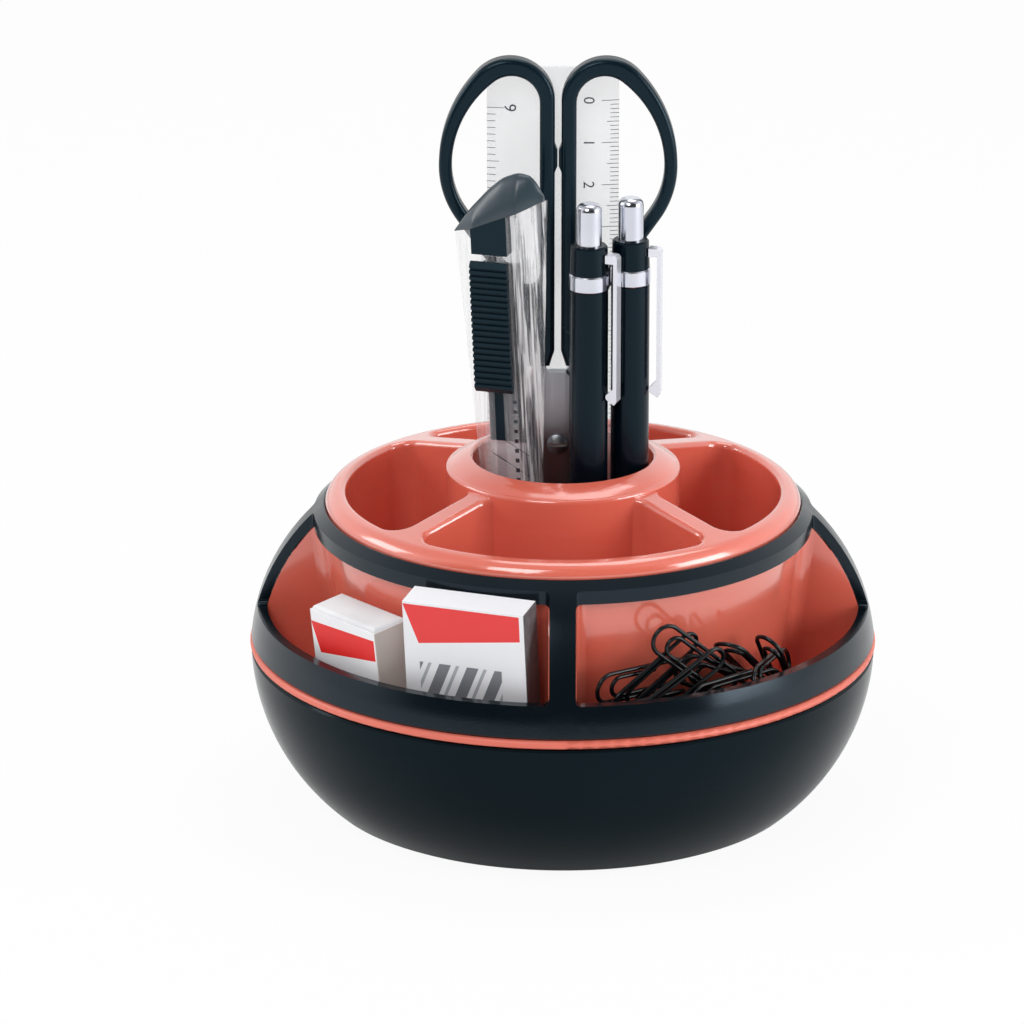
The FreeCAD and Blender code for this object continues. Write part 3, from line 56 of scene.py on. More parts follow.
class Shade:
    """A value inside a finish, with arithmetic on it."""

    def __init__(self, finish, socket):
        self.finish = finish
        self.socket = socket

    def maths(self, operation, *others, clamp=False):
        sockets = dict(zip(("Value", "Value_001", "Value_002"), (self, *others)))
        settings = {"operation": operation, "use_clamp": clamp}
        return self.finish.add("ShaderNodeMath", settings, sockets, "Value")

    def __add__(self, other):
        return self.maths("ADD", other)

    def __sub__(self, other):
        return self.maths("SUBTRACT", other)

    def __rsub__(self, other):
        sockets = {"Value": other, "Value_001": self}
        return self.finish.add("ShaderNodeMath", {"operation": "SUBTRACT"}, sockets, "Value")

    def __mul__(self, other):
        return self.maths("MULTIPLY", other)

    def __abs__(self):
        return self.maths("ABSOLUTE")

    __radd__ = __add__
    __rmul__ = __mul__

    def beyond(self, limit, soft=0.00006):
        """1 where the value passes the limit, with a narrow soft edge."""
        return ((self - limit) * (1 / soft)).maths("ADD", 0.5, clamp=True)

    def below(self, limit, soft=0.00006):
        return 1 - self.beyond(limit, soft)


class ShaderTree:
    """The shader nodes of a material or of the world."""

    def __init__(self, tree):
        self.tree = tree
        self.tree.nodes.clear()

    def add(self, kind, settings, sockets, output):
        """One node: its settings first, then the values and links of its sockets."""
        node = self.tree.nodes.new(kind)
        for name, value in settings.items():
            setattr(node, name, value)
        for name, value in sockets.items():
            socket = next(s for s in node.inputs if name in (s.identifier, s.name))
            if isinstance(value, Shade):
                self.tree.links.new(value.socket, socket)
            else:
                socket.default_value = value
        return Shade(self, next(s for s in node.outputs if output in (s.identifier, s.name)))

    def axes(self, place):
        return [self.add("ShaderNodeSeparateXYZ", {}, {"Vector": place}, axis) for axis in "XYZ"]

    def rays(self):
        """1 for the rays from the camera, for mirrored rays and for rays through clear pieces."""
        return [self.add("ShaderNodeLightPath", {}, {}, ray)
                for ray in ("Is Camera Ray", "Is Glossy Ray", "Is Transmission Ray")]

    def close(self, kind, shader):
        output = self.tree.nodes.new(kind)
        self.tree.links.new(shader.socket, output.inputs["Surface"])


class Finish(ShaderTree):
    """One surface finish of a piece, on the places of its own mesh."""

    def __init__(self, name):
        self.material = bpy.data.materials.new(name)
        self.material.use_nodes = True
        super().__init__(self.material.node_tree)
        self.place = self.add("ShaderNodeTexCoord", {}, {}, "Object")

    def noise(self, scale, detail=2.0, at=None):
        sockets = {"Vector": at or self.place, "Scale": scale, "Detail": detail}
        return self.add("ShaderNodeTexNoise", {}, sockets, "Fac")

    def turned(self, location=(0, 0, 0), rotation=(0, 0, 0), scale=(1.0, 1.0, 1.0)):
        """Places as seen from a piece's own corner and lean."""
        sockets = {"Vector": self.place, "Location": location, "Rotation": rotation, "Scale": scale}
        return self.add("ShaderNodeMapping", {"vector_type": "TEXTURE"}, sockets, "Vector")

    def blend(self, amount, first, second):
        sockets = {"Factor_Float": amount, "A_Color": first, "B_Color": second}
        return self.add("ShaderNodeMix", {"data_type": "RGBA"}, sockets, "Result_Color")

    def relief(self, height, depth):
        return self.add("ShaderNodeBump", {}, {"Height": height, "Distance": depth}, "Normal")

    def surface(self, **sockets):
        """Closes the finish; underscores in the names stand for spaces."""
        named = {name.replace("_", " "): value for name, value in sockets.items()}
        paint = self.add("ShaderNodeBsdfPrincipled", {}, named, "BSDF")
        self.close("ShaderNodeOutputMaterial", paint)
        return self.material


def ink(code):
    """A colour as it is read on a colour chart, made linear for the shader."""
    parts = [int(code[i:i + 2], 16) / 255 for i in (0, 2, 4)]
    linear = [p / 12.92 if p <= 0.04045 else ((p + 0.055) / 1.055) ** 2.4 for p in parts]
    return (*linear, 1.0)


def dress(material, *names):
    """Gives the named pieces of the frame their finish."""
    for name in names:
        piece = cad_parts[name]
        if not piece.material_slots:
            piece.data.materials.append(material)
        for slot in piece.material_slots:
            slot.material = material


def moulded(name, light, dark, gloss, grain, **constants):
    """Moulded plastic: a faint drift in colour, handling marks in its gloss, a fine grain."""
    finish = Finish(name)
    drift = finish.noise(24.0, 3.0)
    marks = finish.noise(95.0, 5.0)
    skin = finish.noise(2600.0, 1.0) + 0.6 * finish.noise(620.0, 2.0)
    low, high = gloss
    return finish.surface(
        Base_Color=finish.blend(drift, ink(dark), ink(light)),
        Roughness=low + (high - low) * marks,
        Normal=finish.relief(skin, grain),
        **constants,
    )


dress(moulded("base_plastic", "34383B", "25292C", (0.5, 0.68), 0.00006), "base_plate")
dress(moulded("foot_rubber", "1E1F20", "151617", (0.75, 0.9), 0.00008), "rubber_feet")

# --- Ball bearing and centre fixing ------------------------------------------------------
# A light-duty turntable bearing: sixteen steel balls in a white nylon retainer between two
# turned and zinc-plated rings, held down by a washer and a countersunk screw.


def turned_steel(name, light, dark, pitch):
    """Steel with the fine rings that the lathe leaves, and a little haze from handling."""
    finish = Finish(name)
    x, y, _ = finish.axes(finish.place)
    radius = (x * x + y * y).maths("SQRT")
    rings = (radius * (math.tau / pitch)).maths("SINE") * 0.5 + 0.5
    haze = finish.noise(160.0, 4.0)
    return finish.surface(
        Base_Color=finish.blend(haze, ink(dark), ink(light)),
        Metallic=1.0,
        Roughness=0.2 + 0.14 * haze + 0.06 * rings,
        Normal=finish.relief(rings, 0.000004),
    )


dress(turned_steel("bearing_steel", "C9CCD0", "9FA3A8", 0.00035), "lower_race", "upper_race")
dress(turned_steel("bearing_ball", "D8DADD", "B8BBC0", 0.002), "bearing_balls")
dress(turned_steel("zinc_steel", "C4C8C2", "989C98", 0.0003),
      "centre_washer", "centre_screw", "tray_screws", "cup_screws")
dress(moulded("cage_plastic", "E9E7DF", "DAD7CB", (0.35, 0.5), 0.00002), "ball_retainer")

# --- Shell: bowl and trim ----------------------------------------------------------------
# Two black ABS mouldings, the round-sided bowl and the domed trim with its four windows.
# Their faces have a satin, finely grained skin that shows soft grey reflections.

dress(moulded("bowl_plastic", "0A171D", "050C11", (0.1, 0.18), 0.000012,
              IOR=1.22, Specular_Tint=(0.55, 0.85, 1.0, 1.0)), "bowl")
dress(moulded("trim_plastic", "08141A", "040A0F", (0.14, 0.24), 0.000012,
              IOR=1.5, Specular_Tint=(0.6, 0.76, 0.92, 1.0)), "trim_frame")

# --- Coral trays -------------------------------------------------------------------------
# The outer tray, whose lip is the coral stripe, and the inner tray with four wells and the
# centre cup: glossy coral polypropylene that lets a little light into its surface. The lip
# is left matt where it is handled.

LIP_RADIUS = 0.0705


def coral(name):
    finish = Finish(name)
    drift = finish.noise(18.0, 3.0)
    marks = finish.noise(70.0, 5.0)
    skin = finish.noise(900.0, 2.0)
    flow = finish.noise(40.0, 6.0, finish.turned(scale=(1.0, 1.0, 0.12)))
    tone = finish.blend(drift, ink("E16450"), ink("E9745F"))
    x, y, _ = finish.axes(finish.place)
    lip = (x * x + y * y).maths("SQRT").beyond(LIP_RADIUS, 0.0004)
    return finish.surface(
        Base_Color=finish.blend(0.14 * flow, tone, ink("F49C8C")),
        Roughness=0.14 + 0.12 * marks + 0.3 * lip,
        Coat_Weight=(1.0 - 0.15 * marks) * (1 - 0.9 * lip),
        Coat_Roughness=0.1,
        Coat_IOR=1.68,
        Normal=finish.relief(skin, 0.00001),
        IOR=1.6,
        Subsurface_Weight=0.12,
        Subsurface_Radius=(0.003, 0.0009, 0.0006),
        Subsurface_Scale=1.0,
    )


dress(coral("coral_plastic"), "outer_tray", "inner_tray")

# --- Scissors ----------------------------------------------------------------------------
# Stamped stainless blades, ground along their edges, with handles of black nylon moulded
# onto their tangs; a flat rivet screw is the pivot.

BLUE_BLACK = {"IOR": 1.36, "Specular_Tint": (0.5, 0.76, 0.92, 1.0)}

handle_plastic = moulded("grip_plastic", "0F1F29", "09161F", (0.2, 0.32), 0.00001, **BLUE_BLACK)
dress(handle_plastic, "scissors_left_handle", "scissors_right_handle")


def ground_steel(name, light, dark, grain):
    """Sheet steel with the straight marks of the grinding wheel along its length."""
    finish = Finish(name)
    marks = finish.noise(1.0, 4.0, finish.turned(scale=grain))
    haze = finish.noise(60.0, 3.0)
    return finish.surface(
        Base_Color=finish.blend(haze, ink(dark), ink(light)),
        Metallic=1.0,
        Roughness=0.22 + 0.2 * marks,
        Normal=finish.relief(marks, 0.00002),
    )


blade_steel = ground_steel("blade_steel", "B9BDC4", "8D9299", (0.0003, 0.0003, 0.02))
dress(blade_steel, "scissors_front_blade", "scissors_back_blade")
dress(turned_steel("screw_steel", "D5D7DA", "A9ADB2", 0.0002), "scissors_screw")

# --- Ruler -------------------------------------------------------------------------------
# A clear acrylic rule with both long edges bevelled. Centimetres run down the right edge
# and inches up the left one; lines and figures are hot-stamped in dark grey.

RULER_X, RULER_FRONT, RULER_HALF = -0.0025, 0.00835, 0.0151
BEVEL_WIDE, BEVEL_DEEP = 0.004, 0.0007
MILLIMETRE, CENTIMETRE, INCH = 0.001, 0.01, 0.0254
LAST_CENTIMETRE, LAST_INCH = 15, 6
SCALE_TOP, INCH_LOW = 0.1651, 0.0109
STROKE_LONG, STROKE_WIDE = 0.004, 0.00014
SHORT_SHARE, HALF_SHARE = 0.5, 0.7
STAMP_TALL = 0.00002
CENTIMETRE_FIGURES_X, INCH_FIGURES_X = RULER_X + 0.0081, RULER_X - 0.0096

ruler = Finish("ruler_plastic")
ruler_haze = ruler.noise(45.0, 4.0)
ruler_scuffs = ruler.noise(1.0, 3.0, ruler.turned(scale=(0.0004, 0.0004, 0.012)))
dress(
    ruler.surface(
        Base_Color=ruler.blend(ruler_haze, ink("F1F3F9"), ink("FCFDFF")),
        Roughness=0.12 + 0.2 * ruler_scuffs,
        Alpha=0.16 + 0.12 * ruler_haze,
        IOR=1.49,
        Normal=ruler.relief(ruler_scuffs, 0.000006),
    ),
    "ruler",
)

stamp = Finish("ruler_stamp")
stamp_wear = stamp.noise(800.0, 3.0)
stamp_ink = stamp.surface(
    Base_Color=stamp.blend(stamp_wear, ink("3B4048"), ink("6A7079")),
    Roughness=0.45 + 0.2 * stamp_wear,
)


def node_group(name, inputs):
    """An empty geometry tree with named inputs; returns it with its two ends."""
    tree = bpy.data.node_groups.new(name, "GeometryNodeTree")
    for label, kind in inputs:
        tree.interface.new_socket(label, in_out="INPUT", socket_type=kind)
    tree.interface.new_socket("Geometry", in_out="OUTPUT", socket_type="NodeSocketGeometry")
    return tree, tree.nodes.new("NodeGroupInput"), tree.nodes.new("NodeGroupOutput")


def grow(tree, kind, settings, sockets):
    """One geometry node: its settings, then the values and links of its sockets."""
    node = tree.nodes.new(kind)
    for name, value in settings.items():
        setattr(node, name, value)
    for name, value in sockets.items():
        socket = node.inputs[name] if isinstance(name, int) else next(
            s for s in node.inputs if name in (s.identifier, s.name))
        if isinstance(value, bpy.types.NodeSocket):
            tree.links.new(value, socket)
        else:
            socket.default_value = value
    return node


def stand(name, data):
    """A new object of the scene, for a mesh, a text, a lamp or a camera."""
    thing = bpy.data.objects.new(name, data)
    bpy.context.scene.collection.objects.link(thing)
    return thing


def made_by(tree, name, values):
    """Runs a geometry tree once and keeps its result as a plain mesh."""
    seed = stand(name, bpy.data.meshes.new(name + "_seed"))
    modifier = seed.modifiers.new("build", "NODES")
    modifier.node_group = tree
    for item in tree.interface.items_tree:
        if item.in_out == "INPUT" and item.name in values:
            modifier[item.identifier] = values[item.name]
    depsgraph = bpy.context.evaluated_depsgraph_get()
    mesh = bpy.data.meshes.new_from_object(seed.evaluated_get(depsgraph))
    seed.modifiers.remove(modifier)
    seed.data = mesh
    mesh.name = name
    return seed


def scale_tree():
    """Lines along an edge: long at each whole step, shorter at half steps, short between."""
    tree, start, end = node_group("scale_lines", [
        ("Count", "NodeSocketInt"), ("Pitch", "NodeSocketFloat"), ("Per Step", "NodeSocketInt"),
        ("Long", "NodeSocketFloat"), ("Line", "NodeSocketFloat"), ("Tall", "NodeSocketFloat"),
        ("Place", "NodeSocketVector"), ("Turn", "NodeSocketFloat"), ("Ink", "NodeSocketMaterial"),
    ])
    given = start.outputs
    offset = grow(tree, "ShaderNodeCombineXYZ", {}, {"Z": given["Pitch"]})
    line = grow(tree, "GeometryNodeMeshLine", {"mode": "OFFSET"},
                {"Count": given["Count"], "Offset": offset.outputs[0]})
    index = grow(tree, "GeometryNodeInputIndex", {}, {})

    def maths(operation, *values):
        node = grow(tree, "ShaderNodeMath", {"operation": operation}, dict(enumerate(values)))
        return node.outputs[0]

    def at_each(step):
        """1 for a line whose number is a whole number of steps."""
        return maths("LESS_THAN", maths("MODULO", index.outputs[0], step), 0.5)

    whole_step = at_each(given["Per Step"])
    half_step = at_each(maths("MULTIPLY", given["Per Step"], 0.5))
    share = maths("MULTIPLY_ADD", half_step, HALF_SHARE - SHORT_SHARE, SHORT_SHARE)
    share = maths("MULTIPLY_ADD", whole_step, 1.0 - HALF_SHARE, share)
    length = maths("MULTIPLY", share, given["Long"])
    size = grow(tree, "ShaderNodeCombineXYZ", {},
                {"X": length, "Y": given["Tall"], "Z": given["Line"]})
    stroke = grow(tree, "GeometryNodeMeshCube", {}, {"Size": (1.0, 1.0, 1.0)})
    inward = grow(tree, "GeometryNodeTransform", {},
                  {"Geometry": stroke.outputs[0], "Translation": (-0.5, 0.0, 0.0)})
    placed = grow(tree, "GeometryNodeInstanceOnPoints", {},
                  {"Points": line.outputs[0], "Instance": inward.outputs[0],
                   "Scale": size.outputs[0]})
    solid = grow(tree, "GeometryNodeRealizeInstances", {}, {"Geometry": placed.outputs[0]})
    turn = grow(tree, "ShaderNodeCombineXYZ", {}, {"Z": given["Turn"]})
    moved = grow(tree, "GeometryNodeTransform", {},
                 {"Geometry": solid.outputs[0], "Translation": given["Place"],
                  "Rotation": turn.outputs[0]})
    inked = grow(tree, "GeometryNodeSetMaterial", {},
                 {"Geometry": moved.outputs[0], "Material": given["Ink"]})
    tree.links.new(inked.outputs[0], end.inputs[0])
    return tree


bevel_turn = math.atan2(BEVEL_DEEP, BEVEL_WIDE)
scale_lines = scale_tree()
stroke = {"Long": STROKE_LONG, "Line": STROKE_WIDE, "Tall": STAMP_TALL, "Ink": stamp_ink}
centimetres = made_by(scale_lines, "ruler_centimetres", {
    "Count": 10 * LAST_CENTIMETRE + 1, "Pitch": -MILLIMETRE, "Per Step": 10,
    "Place": (RULER_X + RULER_HALF - STAMP_TALL, RULER_FRONT + BEVEL_DEEP, SCALE_TOP),
    "Turn": bevel_turn, **stroke,
})
inches = made_by(scale_lines, "ruler_inches", {
    "Count": 16 * LAST_INCH + 1, "Pitch": INCH / 16, "Per Step": 16,
    "Place": (RULER_X - RULER_HALF + STAMP_TALL, RULER_FRONT + BEVEL_DEEP, INCH_LOW),
    "Turn": math.pi - bevel_turn, **stroke,
})


def figures(name, count, first_z, step, x, turn, tall):
    """The scale's figures as one thin mesh; the turn lays their feet to one side."""
    whole = bpy.data.meshes.new(name)
    points, faces = [], []
    for number in range(count):
        text = bpy.data.curves.new(f"{name}_{number}", "FONT")
        text.body = str(number)
        text.size = tall
        text.extrude = STAMP_TALL / 2
        text.align_x = "CENTER"
        text.align_y = "CENTER"
        text.resolution_u = 3
        holder = stand(text.name, text)
        depsgraph = bpy.context.evaluated_depsgraph_get()
        letter = bpy.data.meshes.new_from_object(holder.evaluated_get(depsgraph))
        place = Matrix.Translation((x, RULER_FRONT, first_z + step * number))
        upright = Matrix.Rotation(math.pi / 2, 4, "X")
        letter.transform(place @ Matrix.Rotation(turn, 4, "Y") @ upright)
        start = len(points)
        points += [tuple(v.co) for v in letter.vertices]
        faces += [[start + v for v in face.vertices] for face in letter.polygons]
        bpy.data.objects.remove(holder)
    whole.from_pydata(points, [], faces)
    whole.materials.append(stamp_ink)
    return stand(name, whole)


centimetre_figures = figures(
    "ruler_centimetre_figures", LAST_CENTIMETRE + 1, first_z=SCALE_TOP, step=-CENTIMETRE,
    x=CENTIMETRE_FIGURES_X, turn=math.pi / 2, tall=0.0036)
inch_figures = figures(
    "ruler_inch_figures", LAST_INCH + 1, first_z=INCH_LOW, step=INCH,
    x=INCH_FIGURES_X, turn=-math.pi / 2, tall=0.0040)
for marks in (centimetres, inches, centimetre_figures, inch_figures):
    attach(marks, "ruler")

# --- Snap-off knife ----------------------------------------------------------------------
# A clear styrene body with a black slider and end cap. The segmented blade is carbon steel
# with slanting score lines, a ground edge and one hole for the slider's pin.

KNIFE_BASE = (-0.0088, -0.0013, 0.0092)
KNIFE_LEAN = Vector((0, 0, 1)).rotation_difference(Vector((-0.0424, -0.0491, 1)))
KNIFE_TURN = (KNIFE_LEAN @ Quaternion((0, 0, 1), math.radians(-20))).to_euler("XYZ")
CHANNEL_X = 0.0036
TRACK_X, TRACK_HALF = 0.003, 0.0005
TRACK_FRONT, TRACK_TOP = -0.0022, 0.092
NOTCH_PITCH = 0.0024

clear = Finish("knife_plastic")
clear_x, clear_y, clear_z = clear.axes(clear.turned(KNIFE_BASE, KNIFE_TURN))
clear_flow_and_streaks = clear.noise(1.0, 4.0, clear.turned(KNIFE_BASE, KNIFE_TURN, (0.0009, 0.002, 0.03)))
# The clear wall has painted reflections by the slider's channel: bright and dark streaks in
# its colour and opacity. A row of notches is drawn dark.
channel = clear_x.beyond(CHANNEL_X, 0.0006)
painted_glint_streaks = clear_flow_and_streaks.beyond(0.52, 0.05)
painted_dark_streaks = channel * clear_flow_and_streaks.below(0.43, 0.04)
track = abs(clear_x - TRACK_X).below(TRACK_HALF)
track = track * clear_y.below(TRACK_FRONT) * clear_z.below(TRACK_TOP)
notches = track * abs((clear_z * (1 / NOTCH_PITCH)).maths("FRACT") - 0.5).below(0.22, 0.06)
dress(
    clear.surface(
        Base_Color=clear.blend(painted_dark_streaks + notches, ink("FBFCFF"), ink("2B323B")),
        Roughness=0.04 + 0.1 * clear_flow_and_streaks,
        Alpha=0.12 + 0.1 * painted_glint_streaks + 0.48 * channel * painted_glint_streaks + 0.4 * painted_dark_streaks + 0.8 * notches,
        Transmission_Weight=0.25,
        IOR=1.5,
        Normal=clear.relief(clear_flow_and_streaks, 0.00004),
    ),
    "knife_body",
)

CAP_LEFT, CAP_WIDE = -0.0112, 0.022
CAP_ROOF = [(-0.0112, 0.1293), (-0.0076, 0.1343), (-0.0025, 0.1398), (0.0011, 0.1428),
            (0.0047, 0.1442), (0.0079, 0.1437), (0.0101, 0.1410), (0.0108, 0.1386)]
ROOF_SMOOTHING, ROOF_FALL, ROOF_SHARE = 0.00045, 0.8, 0.98
JOINT_LEFT, JOINT_RISE = 0.129, 0.009
LEAST_RISE, LEAST_DEPTH = 0.00015, 0.04
TONGUE_X, TONGUE_Y, TONGUE_FOOT = (-0.0057, 0.0029), (-0.0044, 0.0007), 0.1254
TONGUE_OVERLAP = 0.0001
# Half the width, half the front's flat and half the depth of the section, at two heights.
SECTIONS = {0.074: (0.0078, 0.0049, 0.0036), 0.146: (0.01215, 0.0054, 0.0045)}


def cap_half_depth(x, z):
    """Half the thickness of the six-sided section, which widens towards the tail."""
    (foot, lower), (tail, upper) = SECTIONS.items()
    share = (z - foot) / (tail - foot)
    half, flat, depth = (a + (b - a) * share for a, b in zip(lower, upper))
    return depth * min(1.0, max(LEAST_DEPTH, (half - abs(x)) / (half - flat)))


def joint_height(x):
    """The slanted line where the cap meets the clear body."""
    return JOINT_LEFT + JOINT_RISE * (x - CAP_LEFT) / CAP_WIDE


def roof_height(x):
    """Straight from point to point of the roof, and level past its last one."""
    for (x0, z0), (x1, z1) in zip(CAP_ROOF, CAP_ROOF[1:]):
        if x <= x1:
            return z0 + (z1 - z0) * (x - x0) / (x1 - x0)
    return CAP_ROOF[-1][1]


def cap_mesh(columns=44, rows=14):
    """The rounded end cap, a curved roof over six sides, with its tongue in a second material."""
    points, faces = [], []
    near = range(-2, 3)
    for i in range(columns + 1):
        x = CAP_LEFT + CAP_WIDE * i / columns
        roof = sum(roof_height(x + ROOF_SMOOTHING * step) for step in near) / len(near)
        joint = joint_height(x)
        for j in range(rows + 1):
            side = 2.0 * j / rows - 1
            crown = max(joint + LEAST_RISE, roof - ROOF_FALL * (roof - joint) * side ** 2)
            points.append((x, side * cap_half_depth(x, crown) * ROOF_SHARE, crown))
            points.append((x, side * cap_half_depth(x, joint), joint))
    count = 2 * (rows + 1)
    for i in range(columns):
        for j in range(rows):
            a = i * count + 2 * j
            b = a + count
            faces += [(a, b, b + 2, a + 2), (a + 1, a + 3, b + 3, b + 1)]
        for j in (0, rows):
            a = i * count + 2 * j
            b = a + count
            faces.append((a, a + 1, b + 1, b))
    for j in range(rows):
        a = 2 * j
        b = columns * count + 2 * j
        faces += [(a, a + 2, a + 3, a + 1), (b, b + 1, b + 3, b + 2)]
    start = len(points)
    points += [(x, y, z) for x in TONGUE_X for y in TONGUE_Y
               for z in (TONGUE_FOOT, joint_height(x) + TONGUE_OVERLAP)]
    tongue = [(0, 1, 3, 2), (4, 6, 7, 5), (0, 4, 5, 1), (2, 3, 7, 6), (0, 2, 6, 4), (1, 5, 7, 3)]
    faces += [tuple(start + v for v in face) for face in tongue]
    mesh = bpy.data.meshes.new("knife_cap")
    mesh.from_pydata(points, [], faces)
    for face in mesh.polygons[-len(tongue):]:
        face.material_index = 1
    mesh.transform(Matrix.Translation(KNIFE_BASE) @ KNIFE_TURN.to_matrix().to_4x4())
    shape = bmesh.new()
    shape.from_mesh(mesh)
    bmesh.ops.recalc_face_normals(shape, faces=shape.faces)
    shape.to_mesh(mesh)
    shape.free()
    mesh.shade_smooth()
    mesh.set_sharp_from_angle(angle=math.radians(38))
    return mesh


# The black cap is given a mid grey, a painted highlight for its lit facet; its tongue takes the
# slider's black.
cap_painted_light_skin = moulded("knife_cap_painted_light", "3A4952", "2B373F", (0.26, 0.36), 0.00001, IOR=1.55)
slider_skin = moulded("slider_plastic", "0F222C", "0A161D", (0.3, 0.45), 0.00001, **BLUE_BLACK)
knife_cap = stand("knife_cap", cap_mesh())
knife_cap.data.materials.append(cap_painted_light_skin)
knife_cap.data.materials.append(slider_skin)
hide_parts("knife_end_cap")
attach(knife_cap, "knife")
dress(slider_skin, "knife_slider")

SEGMENT, SCORE_SLOPE = 0.0052, 0.58
EDGE_X = -0.0032

snap = Finish("knife_steel")
along_x, _, along_z = snap.axes(snap.turned(KNIFE_BASE, KNIFE_TURN))
slant = along_z + along_x * SCORE_SLOPE
score = abs((slant * (1 / SEGMENT)).maths("FRACT") - 0.5).beyond(0.47, 0.02)
# The ground edge is smoother and painted lighter: a painted highlight along it.
ground_edge_and_highlight = along_x.below(EDGE_X, 0.0001)
grind = snap.noise(1.0, 4.0, snap.turned(KNIFE_BASE, KNIFE_TURN, (0.004, 0.0003, 0.0002)))
steel = snap.blend(grind, ink("B4B8C0"), ink("D6D9DF"))
steel = snap.blend(ground_edge_and_highlight * 0.7, steel, ink("E6E8EC"))
# The steel is under half metal, so much of its grey is painted in place of a mirrored reflection.
dress(
    snap.surface(
        Base_Color=snap.blend(score, steel, ink("3A3D42")),
        Metallic=0.45,
        Roughness=0.22 + 0.18 * grind - 0.08 * ground_edge_and_highlight,
        Normal=snap.relief(grind * 0.2 - score, 0.00008),
    ),
    "knife_blade",
)

# --- Two click pens ----------------------------------------------------------------------
# Barrel and cap are black plastic tubes; the ring, clip and button are bright chromed
# parts. A refill and its spring are inside.

pen_black = moulded("pen_black", "05111B", "020911", (0.18, 0.28), 0.000008, **BLUE_BLACK)


def bright_metal(name, light, dark, metallic):
    """Chromed metal with a light haze from the fingers."""
    finish = Finish(name)
    haze = finish.noise(140.0, 4.0)
    return finish.surface(
        Base_Color=finish.blend(haze, ink(dark), ink(light)),
        Metallic=metallic,
        Roughness=0.12 + 0.14 * haze,
        Normal=finish.relief(haze, 0.00001),
    )


pen_silver = bright_metal("pen_silver", "E8EAF2", "CDD0DC", 1.0)
# The clip's chrome is whiter and only half metal, so part of its brightness is a painted
# reflection.
clip_painted_sheen = bright_metal("pen_clip_painted_sheen", "F4F5FC", "E2E5F0", 0.55)
refill_plastic = moulded("refill_plastic", "E8EAEA", "D2D6D8", (0.3, 0.45), 0.00001)
for pen in ("pen_1", "pen_2"):
    dress(pen_black, f"{pen}_nose", f"{pen}_barrel", f"{pen}_cap")
    dress(pen_silver, f"{pen}_ring", f"{pen}_button")
    dress(clip_painted_sheen, f"{pen}_clip")
    dress(refill_plastic, f"{pen}_refill")


def spring_tree():
    """A coil of round wire that stands on its lower end."""
    tree, start, end = node_group("coil", [
        ("Radius", "NodeSocketFloat"), ("Tall", "NodeSocketFloat"), ("Turns", "NodeSocketFloat"),
        ("Wire", "NodeSocketFloat"), ("Foot", "NodeSocketVector"), ("Steel", "NodeSocketMaterial"),
    ])
    given = start.outputs
    spiral = grow(tree, "GeometryNodeCurveSpiral", {}, {
        "Resolution": 24, "Rotations": given["Turns"], "Start Radius": given["Radius"],
        "End Radius": given["Radius"], "Height": given["Tall"]})
    section = grow(tree, "GeometryNodeCurvePrimitiveCircle", {},
                   {"Resolution": 8, "Radius": given["Wire"]})
    wire = grow(tree, "GeometryNodeCurveToMesh", {}, {
        "Curve": spiral.outputs[0], "Profile Curve": section.outputs[0], "Fill Caps": True})
    moved = grow(tree, "GeometryNodeTransform", {},
                 {"Geometry": wire.outputs[0], "Translation": given["Foot"]})
    solid = grow(tree, "GeometryNodeRealizeInstances", {}, {"Geometry": moved.outputs[0]})
    steel = grow(tree, "GeometryNodeSetMaterial", {},
                 {"Geometry": solid.outputs[0], "Material": given["Steel"]})
    tree.links.new(steel.outputs[0], end.inputs[0])
    return tree


SPRING_RADIUS, SPRING_WIRE, SPRING_TURNS = 0.0021, 0.0003, 9

coil = spring_tree()
for pen in ("pen_1", "pen_2"):
    low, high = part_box(f"{pen}_spring")
    tall = high[2] - low[2] - 2 * SPRING_WIRE
    foot = ((low[0] + high[0]) / 2, (low[1] + high[1]) / 2, low[2] + SPRING_WIRE)
    spring = made_by(coil, f"{pen}_coil", {
        "Radius": SPRING_RADIUS, "Tall": tall, "Turns": SPRING_TURNS, "Wire": SPRING_WIRE,
        "Foot": foot, "Steel": blade_steel})
    spring.data.shade_smooth()
    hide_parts(f"{pen}_spring")
    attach(spring, pen)
    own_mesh(spring)

# --- Eraser in its sleeve ----------------------------------------------------------------
# A white vinyl block eraser in a sleeve of printed card, open at both ends. The sleeve has
# a bare red panel with a slanted end on its front, and warm grey sides.

ERASER_BASE = (-0.03921, -0.03485, 0.02208)
ERASER_TURN = Euler((math.radians(7), 0, math.radians(-48.8)))
SLEEVE_FRONT, SLEEVE_SIDE = -0.0095, 0.0113
PANEL_TOP, PANEL_TOP_SLOPE = 0.0347, 0.045
PANEL_FOOT, PANEL_FOOT_SLOPE = 0.0283, 0.164
PANEL_LEFT, PANEL_SLANT = -0.0002, 0.33
PANEL_RIGHT = 0.0109

vinyl = Finish("eraser_rubber")
vinyl_rub = vinyl.noise(210.0, 5.0)
vinyl_smudge = vinyl.noise(60.0, 3.0).beyond(0.6, 0.25)
dress(
    vinyl.surface(
        Base_Color=vinyl.blend(0.35 * vinyl_smudge, ink("F1F1F3"), ink("C9C9CE")),
        Roughness=0.55 + 0.25 * vinyl_rub,
        Normal=vinyl.relief(vinyl_rub, 0.0001),
    ),
    "eraser",
)


def card(name, base, turn):
    """Coated white card with its local places and a faint fibre relief."""
    finish = Finish(name)
    fibre = finish.noise(1500.0, 3.0) + 0.5 * finish.noise(260.0, 3.0)
    return finish, finish.axes(finish.turned(base, turn)), fibre


